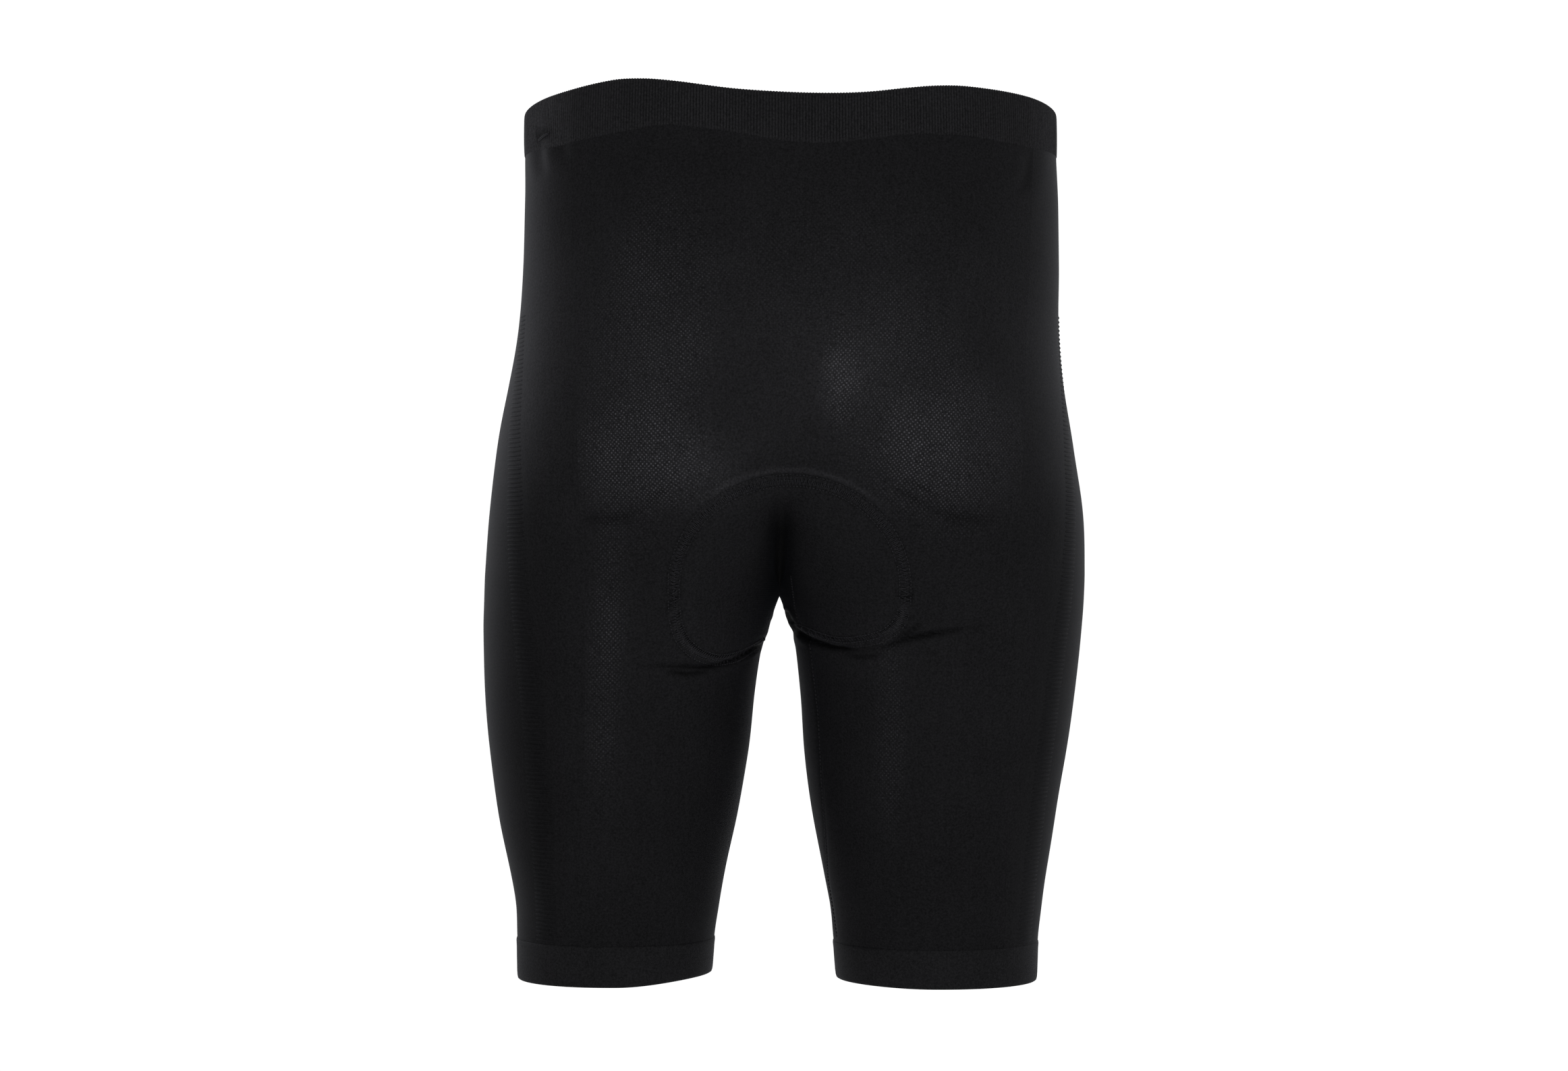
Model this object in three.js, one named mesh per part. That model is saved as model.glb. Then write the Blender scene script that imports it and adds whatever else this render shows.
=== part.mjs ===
// Men's seamless-knit cycling shorts, filled out as worn, with nobody in them.
// Millimetres, +Z up, +Y to the garment's front, +X to the wearer's right.
// The origin is the middle of the waist opening. The cloth is a thin wall; its outer face is
// worked out from horizontal sections, and each seam leaves 0.3 mm between two pieces.
import * as THREE from 'three';
import { mergeVertices } from 'three/addons/utils/BufferGeometryUtils.js';

const TURN = Math.PI * 2;
const DEGREE = Math.PI / 180;
const LEFT = -1;
const RIGHT = 1;

// Walls
const CLOTH = 1.2;
const SEAM = 0.3;
const BAND_WALL = 2.6;
const BAND_PROUD = 0.6;
const HEM_WALL = 2.4;
const HEM_PROUD = 0.5;

// Heights of the waistband's and hems' seams where they lie flat, and how far their waves fade
const BAND_SEAM = -36;
const HEM_SEAM = -487.5;
const WAVE_FADE = 70;

// Grid: rows above and below the crotch, columns of each piece
const ROW_STEP = 16;
const ROW_CROWD = 6;
const CREASE_STEP = 5.4;
const CREASE_ROWS = 8;
const BACK_COLUMNS = 12;
const FRONT_COLUMNS = 12;
const BACK_STRIP_COLUMNS = 2;
const FRONT_STRIP_COLUMNS = 6;
const COLUMN_CROWD = 1.25;
const RING_RAYS = 90;

// Search for the cloth's outer face: the rays' start as a share of a half's width, their
// longest reach, the halvings of each search, and the step that a normal is measured over
const HUB = 0.45;
const FAR = 400;
const HALVINGS = 34;
const NORMAL_STEP = 0.2;

// Rib column in each side zone
const RIB_TOP = -129;
const RIB_PITCH = 2.5;
const RIB_RISE = 0.55;
const RIB_WIDTH = 20;
const RIB_END = 0.8;

// Seat pad: its outline seen from behind, a round arch above its widest row and a fuller curve
// below it, which hangs lower on the wearer's left, and its thickness
const PAD = {
  x: 3, z: -284, backHalf: 67, frontHalf: 43, above: 62.5, below: 41, hang: 6, hangOver: 40,
  archCorner: 2, lowCorner: 3.5,
  clear: 0.8, edgeClear: 1, edge: 2, crown: 5.5, swell: 1.8, swellFrom: 0.76,
  topTrim: 1, bottomTrim: 3, endRow: 3, rowClear: 5,
};

// Horizontal sections. left, right: the outline seen from behind. middle: the centre line.
// reach: how far each half runs past the centre line as a share of its width, and below the
// crotch, negative, the gap between the legs. back, front: depth. fullness: the section
// curve's exponent. blend: how softly the halves meet at the centre line.
const section = table(
  ['z', 'left', 'right', 'middle', 'reach', 'back', 'front', 'fullness', 'blend'],
  [
    [10, -149.3, 156.7, 3.7, 1, -105, 101, 2.2, 0.3],
    [-36, -149.3, 156.9, 3.6, 1, -108, 104, 2.2, 0.3],
    [-64, -149.4, 158.3, 3.5, 0.99, -111, 105, 2.22, 0.28],
    [-100, -150.2, 158.3, 3.2, 0.95, -117, 107, 2.25, 0.24],
    [-135, -152.5, 158, 2.6, 0.84, -124, 108, 2.3, 0.18],
    [-170, -158, 160.3, 1.6, 0.62, -131, 108, 2.34, 0.11],
    [-205, -164.4, 165.9, 0.3, 0.41, -135, 107, 2.36, 0.06],
    [-240, -168.3, 171, -1.2, 0.19, -131, 104, 2.34, 0.03],
    [-275, -171.4, 172.7, -2.4, 0.035, -119, 101, 2.3, 0.01],
    [-292, -172.2, 172.4, -2.7, -0.016, -112, 99, 2.28, 0.006],
    [-310, -172.8, 170.9, -3, -0.047, -106, 97, 2.25, 0.005],
    [-345, -172, 167.3, -3.9, -0.076, -99, 93, 2.2, 0.005],
    [-380, -169.3, 162.6, -4.5, -0.098, -91, 88, 2.18, 0.005],
    [-415, -164.6, 156.4, -5.4, -0.134, -83, 81, 2.15, 0.005],
    [-450, -157.6, 151.3, -6.1, -0.186, -74, 74, 2.12, 0.005],
    [-468, -154.8, 149, -6.3, -0.211, -70, 70, 2.12, 0.005],
    [-486, -154, 146.7, -6.6, -0.228, -66, 66, 2.1, 0.005],
    [-515, -153.2, 145.3, -6.5, -0.247, -63, 63, 2.1, 0.005],
  ]);

// Side zones. left, right: x of their back edge seen from behind, and of their front edge too.
// strip: the plain strip, along the cloth, between the back edge and the rib column.
const sideZone = table(
  ['z', 'left', 'right', 'strip'],
  [
    [0, -121.5, 142.8, 62],
    [-74, -118.8, 139.5, 58],
    [-148, -116, 135.3, 52],
    [-250, -112.4, 130.5, 39],
    [-335, -110.7, 127, 26],
    [-410, -113.5, 125.4, 17],
    [-490, -119, 125, 9],
  ]);

// Waistband edges by the angle round the body: 0 is the centre back, -90 the wearer's left.
const waistEdge = table(
  ['angle', 'top', 'bottom'],
  [
    [-180, -17, -44],
    [-130, -16, -42],
    [-90, -13.5, -37.5],
    [-67, -6.2, -36],
    [-50, -0.6, -31],
    [-42, -0.5, -28.5],
    [-35, -2, -27],
    [-18, -6.8, -31.5],
    [0, -9.1, -37],
    [14, -9.5, -37.5],
    [24, -8.6, -35],
    [34, -6.2, -32.5],
    [42, -4.5, -32],
    [50, -4.2, -32.5],
    [67, -7, -36],
    [90, -13.5, -38],
    [130, -16, -42],
    [180, -17, -44],
  ]);

// Leg hems: seam and bottom edge, and how much the inner side is drawn up
const HEMS = [
  { side: LEFT, name: 'hem_left', seam: -486.5, bottom: -510, drawnUp: 3.6 },
  { side: RIGHT, name: 'hem_right', seam: -488.5, bottom: -511, drawnUp: 1.2 },
];

// Largest creases, seen from behind: points of each soft trough, its depth and half width
const CREASES = [
  { path: [[-84, -327], [-42, -328.5], [-15, -318.5]], depth: 2.4, half: 5 },
  { path: [[5, -306.5], [12, -313.5], [25, -317], [40, -318.5], [55, -316.5]], depth: 2, half: 5 },
  { path: [[55, -316.5], [68, -312], [115, -304]], depth: 2.2, half: 4.5 },
];

// Helpers

function clamp(value, low, high) {
  return Math.min(high, Math.max(low, value));
}

function mix(a, b, share) {
  return a + (b - a) * share;
}

function ease(value, low, high) {
  const t = clamp((value - low) / (high - low), 0, 1);
  return t * t * (3 - 2 * t);
}

/** Reads a table of named columns smoothly between its rows. The first column is the key. */
function table(names, rows) {
  const sorted = [...rows].sort((a, b) => a[0] - b[0]);
  const last = sorted.length - 1;
  const slope = (i, c) => {
    const before = Math.max(i - 1, 0);
    const after = Math.min(i + 1, last);
    return (sorted[after][c] - sorted[before][c]) / (sorted[after][0] - sorted[before][0]);
  };
  return (name, key) => {
    const c = names.indexOf(name);
    const at = clamp(key, sorted[0][0], sorted[last][0]);
    let i = 0;
    while (i < last - 1 && sorted[i + 1][0] < at) i += 1;
    const gap = sorted[i + 1][0] - sorted[i][0];
    const t = (at - sorted[i][0]) / gap;
    const start = sorted[i][c];
    const end = sorted[i + 1][c];
    const bendStart = slope(i, c) * gap;
    const bendEnd = slope(i + 1, c) * gap;
    const a = 2 * start - 2 * end + bendStart + bendEnd;
    const b = 3 * (end - start) - 2 * bendStart - bendEnd;
    return ((a * t + b) * t + bendStart) * t + start;
  };
}

// The cloth's outer face

const forms = new Map();

/** The section's sizes at one height, with both halves on one scale of 0 to 1. */
function form(z) {
  const key = z.toFixed(4);
  if (!forms.has(key)) {
    const reach = section('reach', z);
    const back = section('back', z);
    const front = section('front', z);
    const centre = (1 - reach) / 2;
    forms.set(key, {
      middle: section('middle', z),
      left: section('left', z),
      right: section('right', z),
      fullness: section('fullness', z),
      blend: section('blend', z),
      centre,
      span: (1 + reach) / 2,
      hub: Math.max(centre, HUB),
      midY: (back + front) / 2,
      depth: (front - back) / 2,
    });
  }
  return forms.get(key);
}

function halfWidth(side, f) {
  return side > 0 ? f.right - f.middle : f.middle - f.left;
}

/** Distance from the centre line with its corner rounded, so that both halves meet smoothly. */
function rounded(across, blend) {
  return across >= 2 * blend ? across : across * across / (4 * blend) + blend;
}

/** Below 0 inside the section, above 0 outside it. */
function field(side, x, y, z) {
  const f = form(z);
  const across = rounded(Math.abs((x - f.middle) / halfWidth(side, f)), f.blend);
  const u = Math.abs((across - f.centre) / f.span);
  const v = Math.abs((y - f.midY) / f.depth);
  return u ** f.fullness + v ** f.fullness - 1;
}

/** Outward normal of the section stack. */
function normalAt(side, x, y, z) {
  const d = NORMAL_STEP;
  const n = new THREE.Vector3(
    field(side, x + d, y, z) - field(side, x - d, y, z),
    field(side, x, y + d, z) - field(side, x, y - d, z),
    field(side, x, y, z + d) - field(side, x, y, z - d));
  return n.normalize();
}

/** Where a ray from inside a half meets the cloth. Angle 0 points to the centre line, 90 back. */
function ray(side, z, angle) {
  const f = form(z);
  const half = halfWidth(side, f);
  const hub = f.hub * half;
  const inward = Math.cos(angle);
  const backward = Math.sin(angle);
  let near = 0;
  let far = inward > 1e-9 ? Math.min(FAR, hub / inward) : FAR;
  const spot = (r) => [f.middle + side * (hub - inward * r), f.midY - backward * r];
  if (field(side, ...spot(far), z) > 0) {
    for (let i = 0; i < HALVINGS; i += 1) {
      const mid = (near + far) / 2;
      if (field(side, ...spot(mid), z) < 0) near = mid;
      else far = mid;
    }
  }
  return spot(far);
}

const rings = new Map();

/** One half's section from the centre back (or inseam) round the side to the centre front. */
function ring(side, z) {
  const key = side + z.toFixed(4);
  if (!rings.has(key)) {
    const f = form(z);
    const crossing = Math.abs((f.blend - f.centre) / f.span);
    let start = 0;
    if (f.blend > f.centre - f.span && crossing < 1) {
      const rise = f.depth * (1 - crossing ** f.fullness) ** (1 / f.fullness);
      start = Math.atan2(rise, f.hub * halfWidth(side, f));
    }
    const angles = [];
    const lengths = [0];
    const spots = [];
    for (let i = 0; i <= RING_RAYS; i += 1) {
      const angle = mix(start, TURN - start, i / RING_RAYS);
      const [x, y] = ray(side, z, angle);
      if (i > 0) {
        const [lastX, lastY] = spots[i - 1];
        lengths.push(lengths[i - 1] + Math.hypot(x - lastX, y - lastY));
      }
      angles.push(angle);
      spots.push([x, y]);
    }
    rings.set(key, { angles, lengths, spots, length: lengths[RING_RAYS] });
  }
  return rings.get(key);
}

// Heights between which the crotch lies
const CROTCH_BELOW = -310;
const CROTCH_ABOVE = -275;

/** The height of the crotch: where the two halves just touch. */
function findCrotch() {
  let low = CROTCH_BELOW;
  let high = CROTCH_ABOVE;
  for (let i = 0; i < HALVINGS; i += 1) {
    const mid = (low + high) / 2;
    const f = form(mid);
    if (f.blend > f.centre - f.span) high = mid;
    else low = mid;
  }
  return high;
}

const CROTCH = findCrotch();

/** Distance along the section, from the centre back, to the side zone's back edge. */
function sideStart(side, z) {
  const edge = sideZone(side > 0 ? 'right' : 'left', z);
  const { lengths, spots } = ring(side, z);
  let i = 0;
  while ((spots[i + 1][0] - edge) * side < 0) i += 1;
  const share = (edge - spots[i][0]) / (spots[i + 1][0] - spots[i][0]);
  return mix(lengths[i], lengths[i + 1], share);
}

/** Distance along the section, from the centre back, to the side zone's front edge. */
function sideEnd(side, z) {
  const edge = sideZone(side > 0 ? 'right' : 'left', z);
  const { lengths, spots } = ring(side, z);
  let i = RING_RAYS;
  while ((spots[i - 1][0] - edge) * side < 0) i -= 1;
  const share = (edge - spots[i][0]) / (spots[i - 1][0] - spots[i][0]);
  return mix(lengths[i], lengths[i - 1], share);
}

function ribStart(side, z) {
  return sideStart(side, z) + sideZone('strip', z);
}

/** How far the pad reaches below its widest row: further on the wearer's left. */
function padDepth(x) {
  return PAD.below - PAD.hang * clamp((x - PAD.x) / PAD.hangOver, -1, 1);
}

/** How far the pad's outline lies from a point: 0 in its middle, 1 on the outline. */
function padMeasure(x, y, z) {
  const f = form(z);
  const half = mix(PAD.frontHalf, PAD.backHalf, ease(f.midY - y, -25, 25));
  const across = Math.abs(x - PAD.x) / half;
  const isArch = z > PAD.z;
  const up = Math.abs(z - PAD.z) / (isArch ? PAD.above : padDepth(x));
  const corner = isArch ? PAD.archCorner : PAD.lowCorner;
  return (across ** corner + up ** corner) ** (1 / corner);
}

/** How deep a crease lies at a place in the back view. */
function creaseDepth(crease, x, z) {
  let best = 0;
  const runs = crease.path.length - 1;
  for (let i = 0; i < runs; i += 1) {
    const [ax, az] = crease.path[i];
    const [bx, bz] = crease.path[i + 1];
    const length2 = (bx - ax) ** 2 + (bz - az) ** 2;
    const t = clamp(((x - ax) * (bx - ax) + (z - az) * (bz - az)) / length2, 0, 1);
    const away = Math.hypot(x - mix(ax, bx, t), z - mix(az, bz, t));
    best = Math.max(best, Math.exp(-((away / crease.half) ** 2)));
  }
  return crease.depth * best;
}

/** How far the cloth stands off its plain section: out over the pad, in along the creases. */
function relief(x, y, z) {
  const swell = PAD.swell * (1 - ease(padMeasure(x, y, z), PAD.swellFrom, 1.02));
  const isBack = ease(form(z).midY - y, 0, 15);
  const troughs = CREASES.reduce((sum, crease) => sum + creaseDepth(crease, x, z), 0);
  return swell - isBack * troughs;
}

/** A point of the cloth's outer face and its normal, at a distance along the section. */
function mark(side, z, distance) {
  const { angles, lengths, length } = ring(side, z);
  const s = clamp(distance, 0, length);
  let i = 0;
  while (i < RING_RAYS - 1 && lengths[i + 1] < s) i += 1;
  const angle = mix(angles[i], angles[i + 1], (s - lengths[i]) / (lengths[i + 1] - lengths[i]));
  const [x, y] = ray(side, z, angle);
  const normal = normalAt(side, x, y, z);
  return { point: new THREE.Vector3(x, y, z).addScaledVector(normal, relief(x, y, z)), normal };
}

/** The crotch point, moved a little to the back (-1) or front (1) of the inseam. */
function crotchMark(towards) {
  const f = form(CROTCH);
  const y = f.midY + towards * SEAM / 2;
  const normal = new THREE.Vector3(0, 0, -1);
  const point = new THREE.Vector3(f.middle, y, CROTCH);
  return { point: point.addScaledVector(normal, relief(f.middle, y, CROTCH)), normal };
}

/** A mark moved along its normal, with a value that orders it on its line. */
function moved(place, lift, order) {
  return { point: place.point.clone().addScaledVector(place.normal, lift), order };
}

// Edges

/** Height of the waistband's top or bottom edge, in the direction of a point. */
function waistHeight(edge, point, z) {
  const f = form(z);
  const angle = Math.atan2(point.x - f.middle, f.midY - point.y) / DEGREE;
  return waistEdge(edge, angle);
}

function hemOf(side) {
  return HEMS.find((hem) => hem.side === side);
}

/** Height of a row at a distance along the section, with the waist's waves faded into it. */
function rowHeight(side, level, distance) {
  const atWaist = clamp(1 - (BAND_SEAM - level) / WAVE_FADE, 0, 1);
  const atHem = clamp(1 - (level - HEM_SEAM) / WAVE_FADE, 0, 1);
  const hemShift = (hemOf(side).seam - HEM_SEAM) * atHem;
  if (atWaist === 0) return level + hemShift;
  const { point } = mark(side, level, distance(side, level));
  return level + (waistHeight('bottom', point, level) - BAND_SEAM) * atWaist;
}

// Columns: each is a distance along the section, as a function of side and height

const backColumns = evenly(BACK_COLUMNS, (share) => (side, z) => {
  const from = z < CROTCH ? SEAM / 2 : 0;
  return mix(from, sideStart(side, z) - SEAM / 2, share ** COLUMN_CROWD);
});

const frontColumns = evenly(FRONT_COLUMNS, (share) => (side, z) => {
  const to = ring(side, z).length - (z < CROTCH ? SEAM / 2 : 0);
  const from = sideEnd(side, z) + SEAM / 2;
  return mix(to, from, (1 - share) ** COLUMN_CROWD);
});

const backStrip = evenly(BACK_STRIP_COLUMNS, (share) => (side, z) =>
  mix(sideStart(side, z) + SEAM / 2, ribStart(side, z), share));

const frontStrip = evenly(FRONT_STRIP_COLUMNS, (share) => (side, z) =>
  mix(ribStart(side, z) + RIB_WIDTH, sideEnd(side, z) - SEAM / 2, share));

const ribColumns = [RIB_END, RIB_WIDTH - RIB_END].map((across) => (side, z) =>
  ribStart(side, z) + across);

function evenly(count, make) {
  return Array.from({ length: count + 1 }, (_, i) => make(i / count));
}

// Rows

/** Heights of the rows from the waistband to the hems, crowded at the crotch and creases. */
function rowLevels() {
  const levels = [BAND_SEAM];
  const above = [];
  for (let k = 0; CROTCH + ROW_STEP * k * k / (k + ROW_CROWD) < BAND_SEAM - ROW_STEP / 2; k += 1) {
    above.unshift(CROTCH + ROW_STEP * k * k / (k + ROW_CROWD));
  }
  levels.push(...above);
  for (let k = 1; k <= CREASE_ROWS; k += 1) levels.push(CROTCH - CREASE_STEP * k);
  const from = levels.at(-1);
  const steps = Math.round((from - HEM_SEAM) / ROW_STEP);
  for (let k = 1; k <= steps; k += 1) levels.push(mix(from, HEM_SEAM, k / steps));
  return levels;
}

const LEVELS = rowLevels();
const CROTCH_ROW = LEVELS.indexOf(CROTCH);

/** Heights of the rib column's rows: the plain rows above it, then two rows for each rib. */
function ribLevels() {
  const levels = LEVELS.filter((level) => level > RIB_TOP + 2 * RIB_PITCH)
    .map((level) => ({ level, rise: 0 }));
  const count = Math.floor((RIB_TOP - HEM_SEAM) / RIB_PITCH);
  for (let i = 0; i < count; i += 1) {
    levels.push({ level: RIB_TOP - i * RIB_PITCH, rise: 0 });
    levels.push({ level: RIB_TOP - (i + 0.5) * RIB_PITCH, rise: RIB_RISE });
  }
  levels.push({ level: HEM_SEAM, rise: 0 });
  return levels;
}

// Surfaces: triangles between lines of points

class Skin {
  constructor(flipped) {
    this.corners = [];
    this.flipped = flipped;
  }

  triangle(a, b, c) {
    const order = this.flipped ? [a, c, b] : [a, b, c];
    for (const { point } of order) this.corners.push(point.x, point.y, point.z);
  }

  /** Joins two lines that run down, as seen from the side that the faces look at. */
  strip(left, right) {
    let i = 0;
    let j = 0;
    while (i < left.length - 1 || j < right.length - 1) {
      const leftNext = i < left.length - 1
        && (j === right.length - 1 || left[i + 1].order <= right[j + 1].order);
      if (leftNext) {
        this.triangle(left[i], left[i + 1], right[j]);
        i += 1;
      } else {
        this.triangle(left[i], right[j + 1], right[j]);
        j += 1;
      }
    }
  }

  /** A wall between outer and inner lines. openFrom: the first row with a free first edge. */
  wall(outer, inner, openFrom = 0) {
    for (let j = 0; j < outer.length - 1; j += 1) this.strip(outer[j], outer[j + 1]);
    for (let j = 0; j < inner.length - 1; j += 1) this.strip(inner[j + 1], inner[j]);
    const along = (lines, end) => lines.map((line) => {
      const { point, across } = line.at(end);
      return { point, order: across };
    });
    this.strip(along(outer, 0), along(inner, 0));
    this.strip(along(inner, -1), along(outer, -1));
    this.strip(inner[0].slice(openFrom), outer[0].slice(openFrom));
    this.strip(outer.at(-1), inner.at(-1));
  }

  /** A closed tube through loops of points, one after another round it. */
  loops(list) {
    list.forEach((loop, i) => {
      const next = list[(i + 1) % list.length];
      this.strip([...loop, { ...loop[0], order: loop.length }],
        [...next, { ...next[0], order: next.length }]);
    });
  }
}

/** One closed body from several skins: doubles are merged and collapsed faces dropped. */
function body(name, colour, roughness, skins) {
  const corners = skins.flatMap((skin) => skin.corners);
  const loose = new THREE.BufferGeometry();
  loose.setAttribute('position', new THREE.Float32BufferAttribute(corners, 3));
  const merged = mergeVertices(loose, 1e-3);
  const index = merged.index.array;
  const kept = [];
  for (let i = 0; i < index.length; i += 3) {
    const [a, b, c] = [index[i], index[i + 1], index[i + 2]];
    if (a !== b && b !== c && c !== a) kept.push(a, b, c);
  }
  merged.setIndex(kept);
  const geometry = mergeVertices(merged.toNonIndexed(), 1e-3);
  geometry.computeVertexNormals();
  const material = new THREE.MeshStandardMaterial({ color: colour, roughness, metalness: 0 });
  const mesh = new THREE.Mesh(geometry, material);
  mesh.name = name;
  return mesh;
}

// Pieces

/** The lines of a panel down its columns. Rows come with a rise of their own where ribbed. */
function panelLines(side, columns, rows, lift, acrossFrom = 0) {
  return columns.map((column, j) => rows.map(({ level, rise }) => {
    const z = rowHeight(side, level, column) - (level === BAND_SEAM ? SEAM : 0)
      + (level === HEM_SEAM ? SEAM : 0);
    const place = mark(side, z, column(side, z));
    return { ...moved(place, lift + rise, -level), across: acrossFrom + j };
  }));
}

const plainRows = LEVELS.map((level) => ({ level, rise: 0 }));

/** One half of the front or back, from the centre line to the side zone. */
function panelHalf(side, columns, towards) {
  const lines = (lift) => {
    const made = panelLines(side, columns, plainRows, lift);
    const centre = towards < 0 ? made[0] : made.at(-1);
    const crotch = moved(crotchMark(towards), lift, -CROTCH);
    centre[CROTCH_ROW] = { ...centre[CROTCH_ROW], point: crotch.point };
    return made;
  };
  return { outer: lines(0), inner: lines(-CLOTH) };
}

function back() {
  const skins = [LEFT, RIGHT].map((side) => {
    const skin = new Skin(side === LEFT);
    const { outer, inner } = panelHalf(side, backColumns, -1);
    skin.wall(outer, inner, CROTCH_ROW);
    return skin;
  });
  return body('back', 0x1d1c21, 0.72, skins);
}

/** The front's centre line is its last column, so its lines are taken in reverse. */
function front() {
  const skins = [LEFT, RIGHT].map((side) => {
    const skin = new Skin(side === RIGHT);
    const { outer, inner } = panelHalf(side, frontColumns, 1);
    const reversed = (lines) => lines.toReversed().map((line, j) =>
      line.map((item) => ({ ...item, across: j })));
    skin.wall(reversed(outer), reversed(inner), CROTCH_ROW);
    return skin;
  });
  return body('front', 0x1d1c21, 0.72, skins);
}

/** Side zone: plain strips either side of a column of raised ribs, over a plain inside. */
function sidePiece(side, name) {
  const ribbed = ribLevels();
  const outer = [
    ...panelLines(side, backStrip, plainRows, 0),
    ...panelLines(side, ribColumns, ribbed, 0, backStrip.length - 0.5),
    ...panelLines(side, frontStrip, plainRows, 0, backStrip.length + 2),
  ];
  const inner = [
    ...panelLines(side, backStrip, plainRows, -CLOTH),
    ...panelLines(side, frontStrip, plainRows, -CLOTH, backStrip.length + 2),
  ];
  const skin = new Skin(side === LEFT);
  skin.wall(outer, inner);
  return body(name, 0x232228, 0.6, [skin]);
}

/** All the columns round one half, for the bands that close the waist and the legs. */
function bandColumns() {
  return [
    ...backColumns.slice(0, -1),
    ...backStrip,
    ...frontStrip,
    ...frontColumns.slice(1),
  ];
}

/** Waistband section: distance off the cloth's outer face, and share of its height. */
const BAND_PROFILE = [
  [BAND_PROUD - BAND_WALL / 2, 1],
  [BAND_PROUD - 0.5, 0.98],
  [BAND_PROUD, 0.93],
  [BAND_PROUD + 0.25, 0.5],
  [BAND_PROUD, 0],
  [BAND_PROUD - BAND_WALL, 0],
  [BAND_PROUD - BAND_WALL, 0.93],
  [BAND_PROUD - BAND_WALL + 0.5, 0.98],
];

function waistLoop(side, column) {
  const { point } = mark(side, BAND_SEAM, column(side, BAND_SEAM));
  const top = waistHeight('top', point, BAND_SEAM);
  const bottom = waistHeight('bottom', point, BAND_SEAM);
  return BAND_PROFILE.map(([lift, share], i) => {
    const z = mix(bottom, top, share);
    return moved(mark(side, z, column(side, z)), lift, i);
  });
}

function waistband() {
  const columns = bandColumns();
  const right = columns.map((column) => waistLoop(RIGHT, column));
  const left = columns.map((column) => waistLoop(LEFT, column)).reverse();
  const skin = new Skin(false);
  skin.loops([...right, ...left.slice(1, -1)]);
  return body('waistband', 0x1f1e23, 0.7, [skin]);
}

/** Hem section, from its seam down: distance off the cloth and share of its height. */
const HEM_PROFILE = [
  [HEM_PROUD, 0],
  [HEM_PROUD + 0.2, 0.5],
  [HEM_PROUD, 0.94],
  [HEM_PROUD - HEM_WALL / 2, 1],
  [HEM_PROUD - HEM_WALL, 0.94],
  [HEM_PROUD - HEM_WALL, 0],
];

function hem({ side, name, seam, bottom, drawnUp }) {
  const columns = bandColumns();
  const f = form(bottom);
  const half = halfWidth(side, f);
  const loops = columns.slice(0, -1).map((column) => {
    const { point } = mark(side, bottom, column(side, bottom));
    const inner = 1 - ease(Math.abs(point.x - f.middle) / half, 0.22, 0.6);
    return HEM_PROFILE.map(([lift, share], i) => {
      const z = mix(seam, bottom + drawnUp * inner, share);
      return moved(mark(side, z, column(side, z)), lift, i);
    });
  });
  const skin = new Skin(side === LEFT);
  skin.loops(loops);
  return body(name, 0x232228, 0.66, [skin]);
}

/** Distance along the section from the centre line to the pad's outline. */
function padReach(side, z, isBack) {
  const { length } = ring(side, z);
  const step = 0.5;
  let s = 0;
  const measure = (distance) => {
    const { point } = mark(side, z, isBack ? distance : length - distance);
    return padMeasure(point.x, point.y, z);
  };
  while (s < length / 3 && measure(s + step) < 1) s += step;
  return s;
}

/**
 * The pad lies just inside the cloth, thick in the middle and thin at its edge. It is made in
 * four quarters, which have no rim where they meet at the centre line.
 */
function pad() {
  const top = PAD.z + PAD.above - PAD.topTrim;
  const skins = [];
  for (const side of [LEFT, RIGHT]) {
    const bottom = PAD.z - PAD.below + side * PAD.hang + PAD.bottomTrim;
    const heights = [
      top,
      top - PAD.endRow,
      ...LEVELS.filter((z) => z < top - PAD.rowClear && z > bottom + PAD.rowClear),
      bottom + PAD.endRow,
      bottom,
    ];
    for (const isBack of [true, false]) {
      const columns = isBack ? backColumns : frontColumns.toReversed();
      const lines = (inside) => columns.map((column, j) => heights.map((z) => {
        const { length } = ring(side, z);
        const fromCentre = isBack ? column(side, z) : length - column(side, z);
        const kept = j === 0 ? 0 : Math.min(fromCentre, padReach(side, z, isBack));
        const onCrotch = j === 0 && z === CROTCH;
        const place = onCrotch ? crotchMark(0) : mark(side, z, isBack ? kept : length - kept);
        const { x, y } = place.point;
        const measure = clamp(padMeasure(x, y, z), 0, 1);
        const thick = PAD.edge + PAD.crown * (1 - measure ** 2);
        const clear = PAD.clear + PAD.edgeClear * ease(measure, 0.6, 0.9);
        const lift = -CLOTH - clear - (inside ? thick : 0);
        return { ...moved(place, lift, -z), across: j };
      }));
      const skin = new Skin((side === LEFT) === isBack);
      skin.wall(lines(false), lines(true), Infinity);
      skins.push(skin);
    }
  }
  return body('pad', 0x3a3a40, 0.85, skins);
}

const shorts = new THREE.Group();
shorts.name = 'cycling_shorts';
shorts.add(
  waistband(),
  back(),
  front(),
  sidePiece(LEFT, 'side_left'),
  sidePiece(RIGHT, 'side_right'),
  ...HEMS.map(hem),
  pad(),
);

export default shorts;
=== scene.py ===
# %% [markdown]
# # Cycling shorts
# Black seamless-knit cycling shorts, seen from behind and filled out as worn, with nobody in them.
# Real ones are knitted as tubes of stretch yarn. Here the cloth is worked out in arrays from
# horizontal sections, the same ones as the solids in finer steps, because stretched knit takes its
# form from what fills it. The arrays hold millimetres. Meshes are made in metres, with +X to the
# wearer's right and +Z up.

# %% Start
import math

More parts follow.
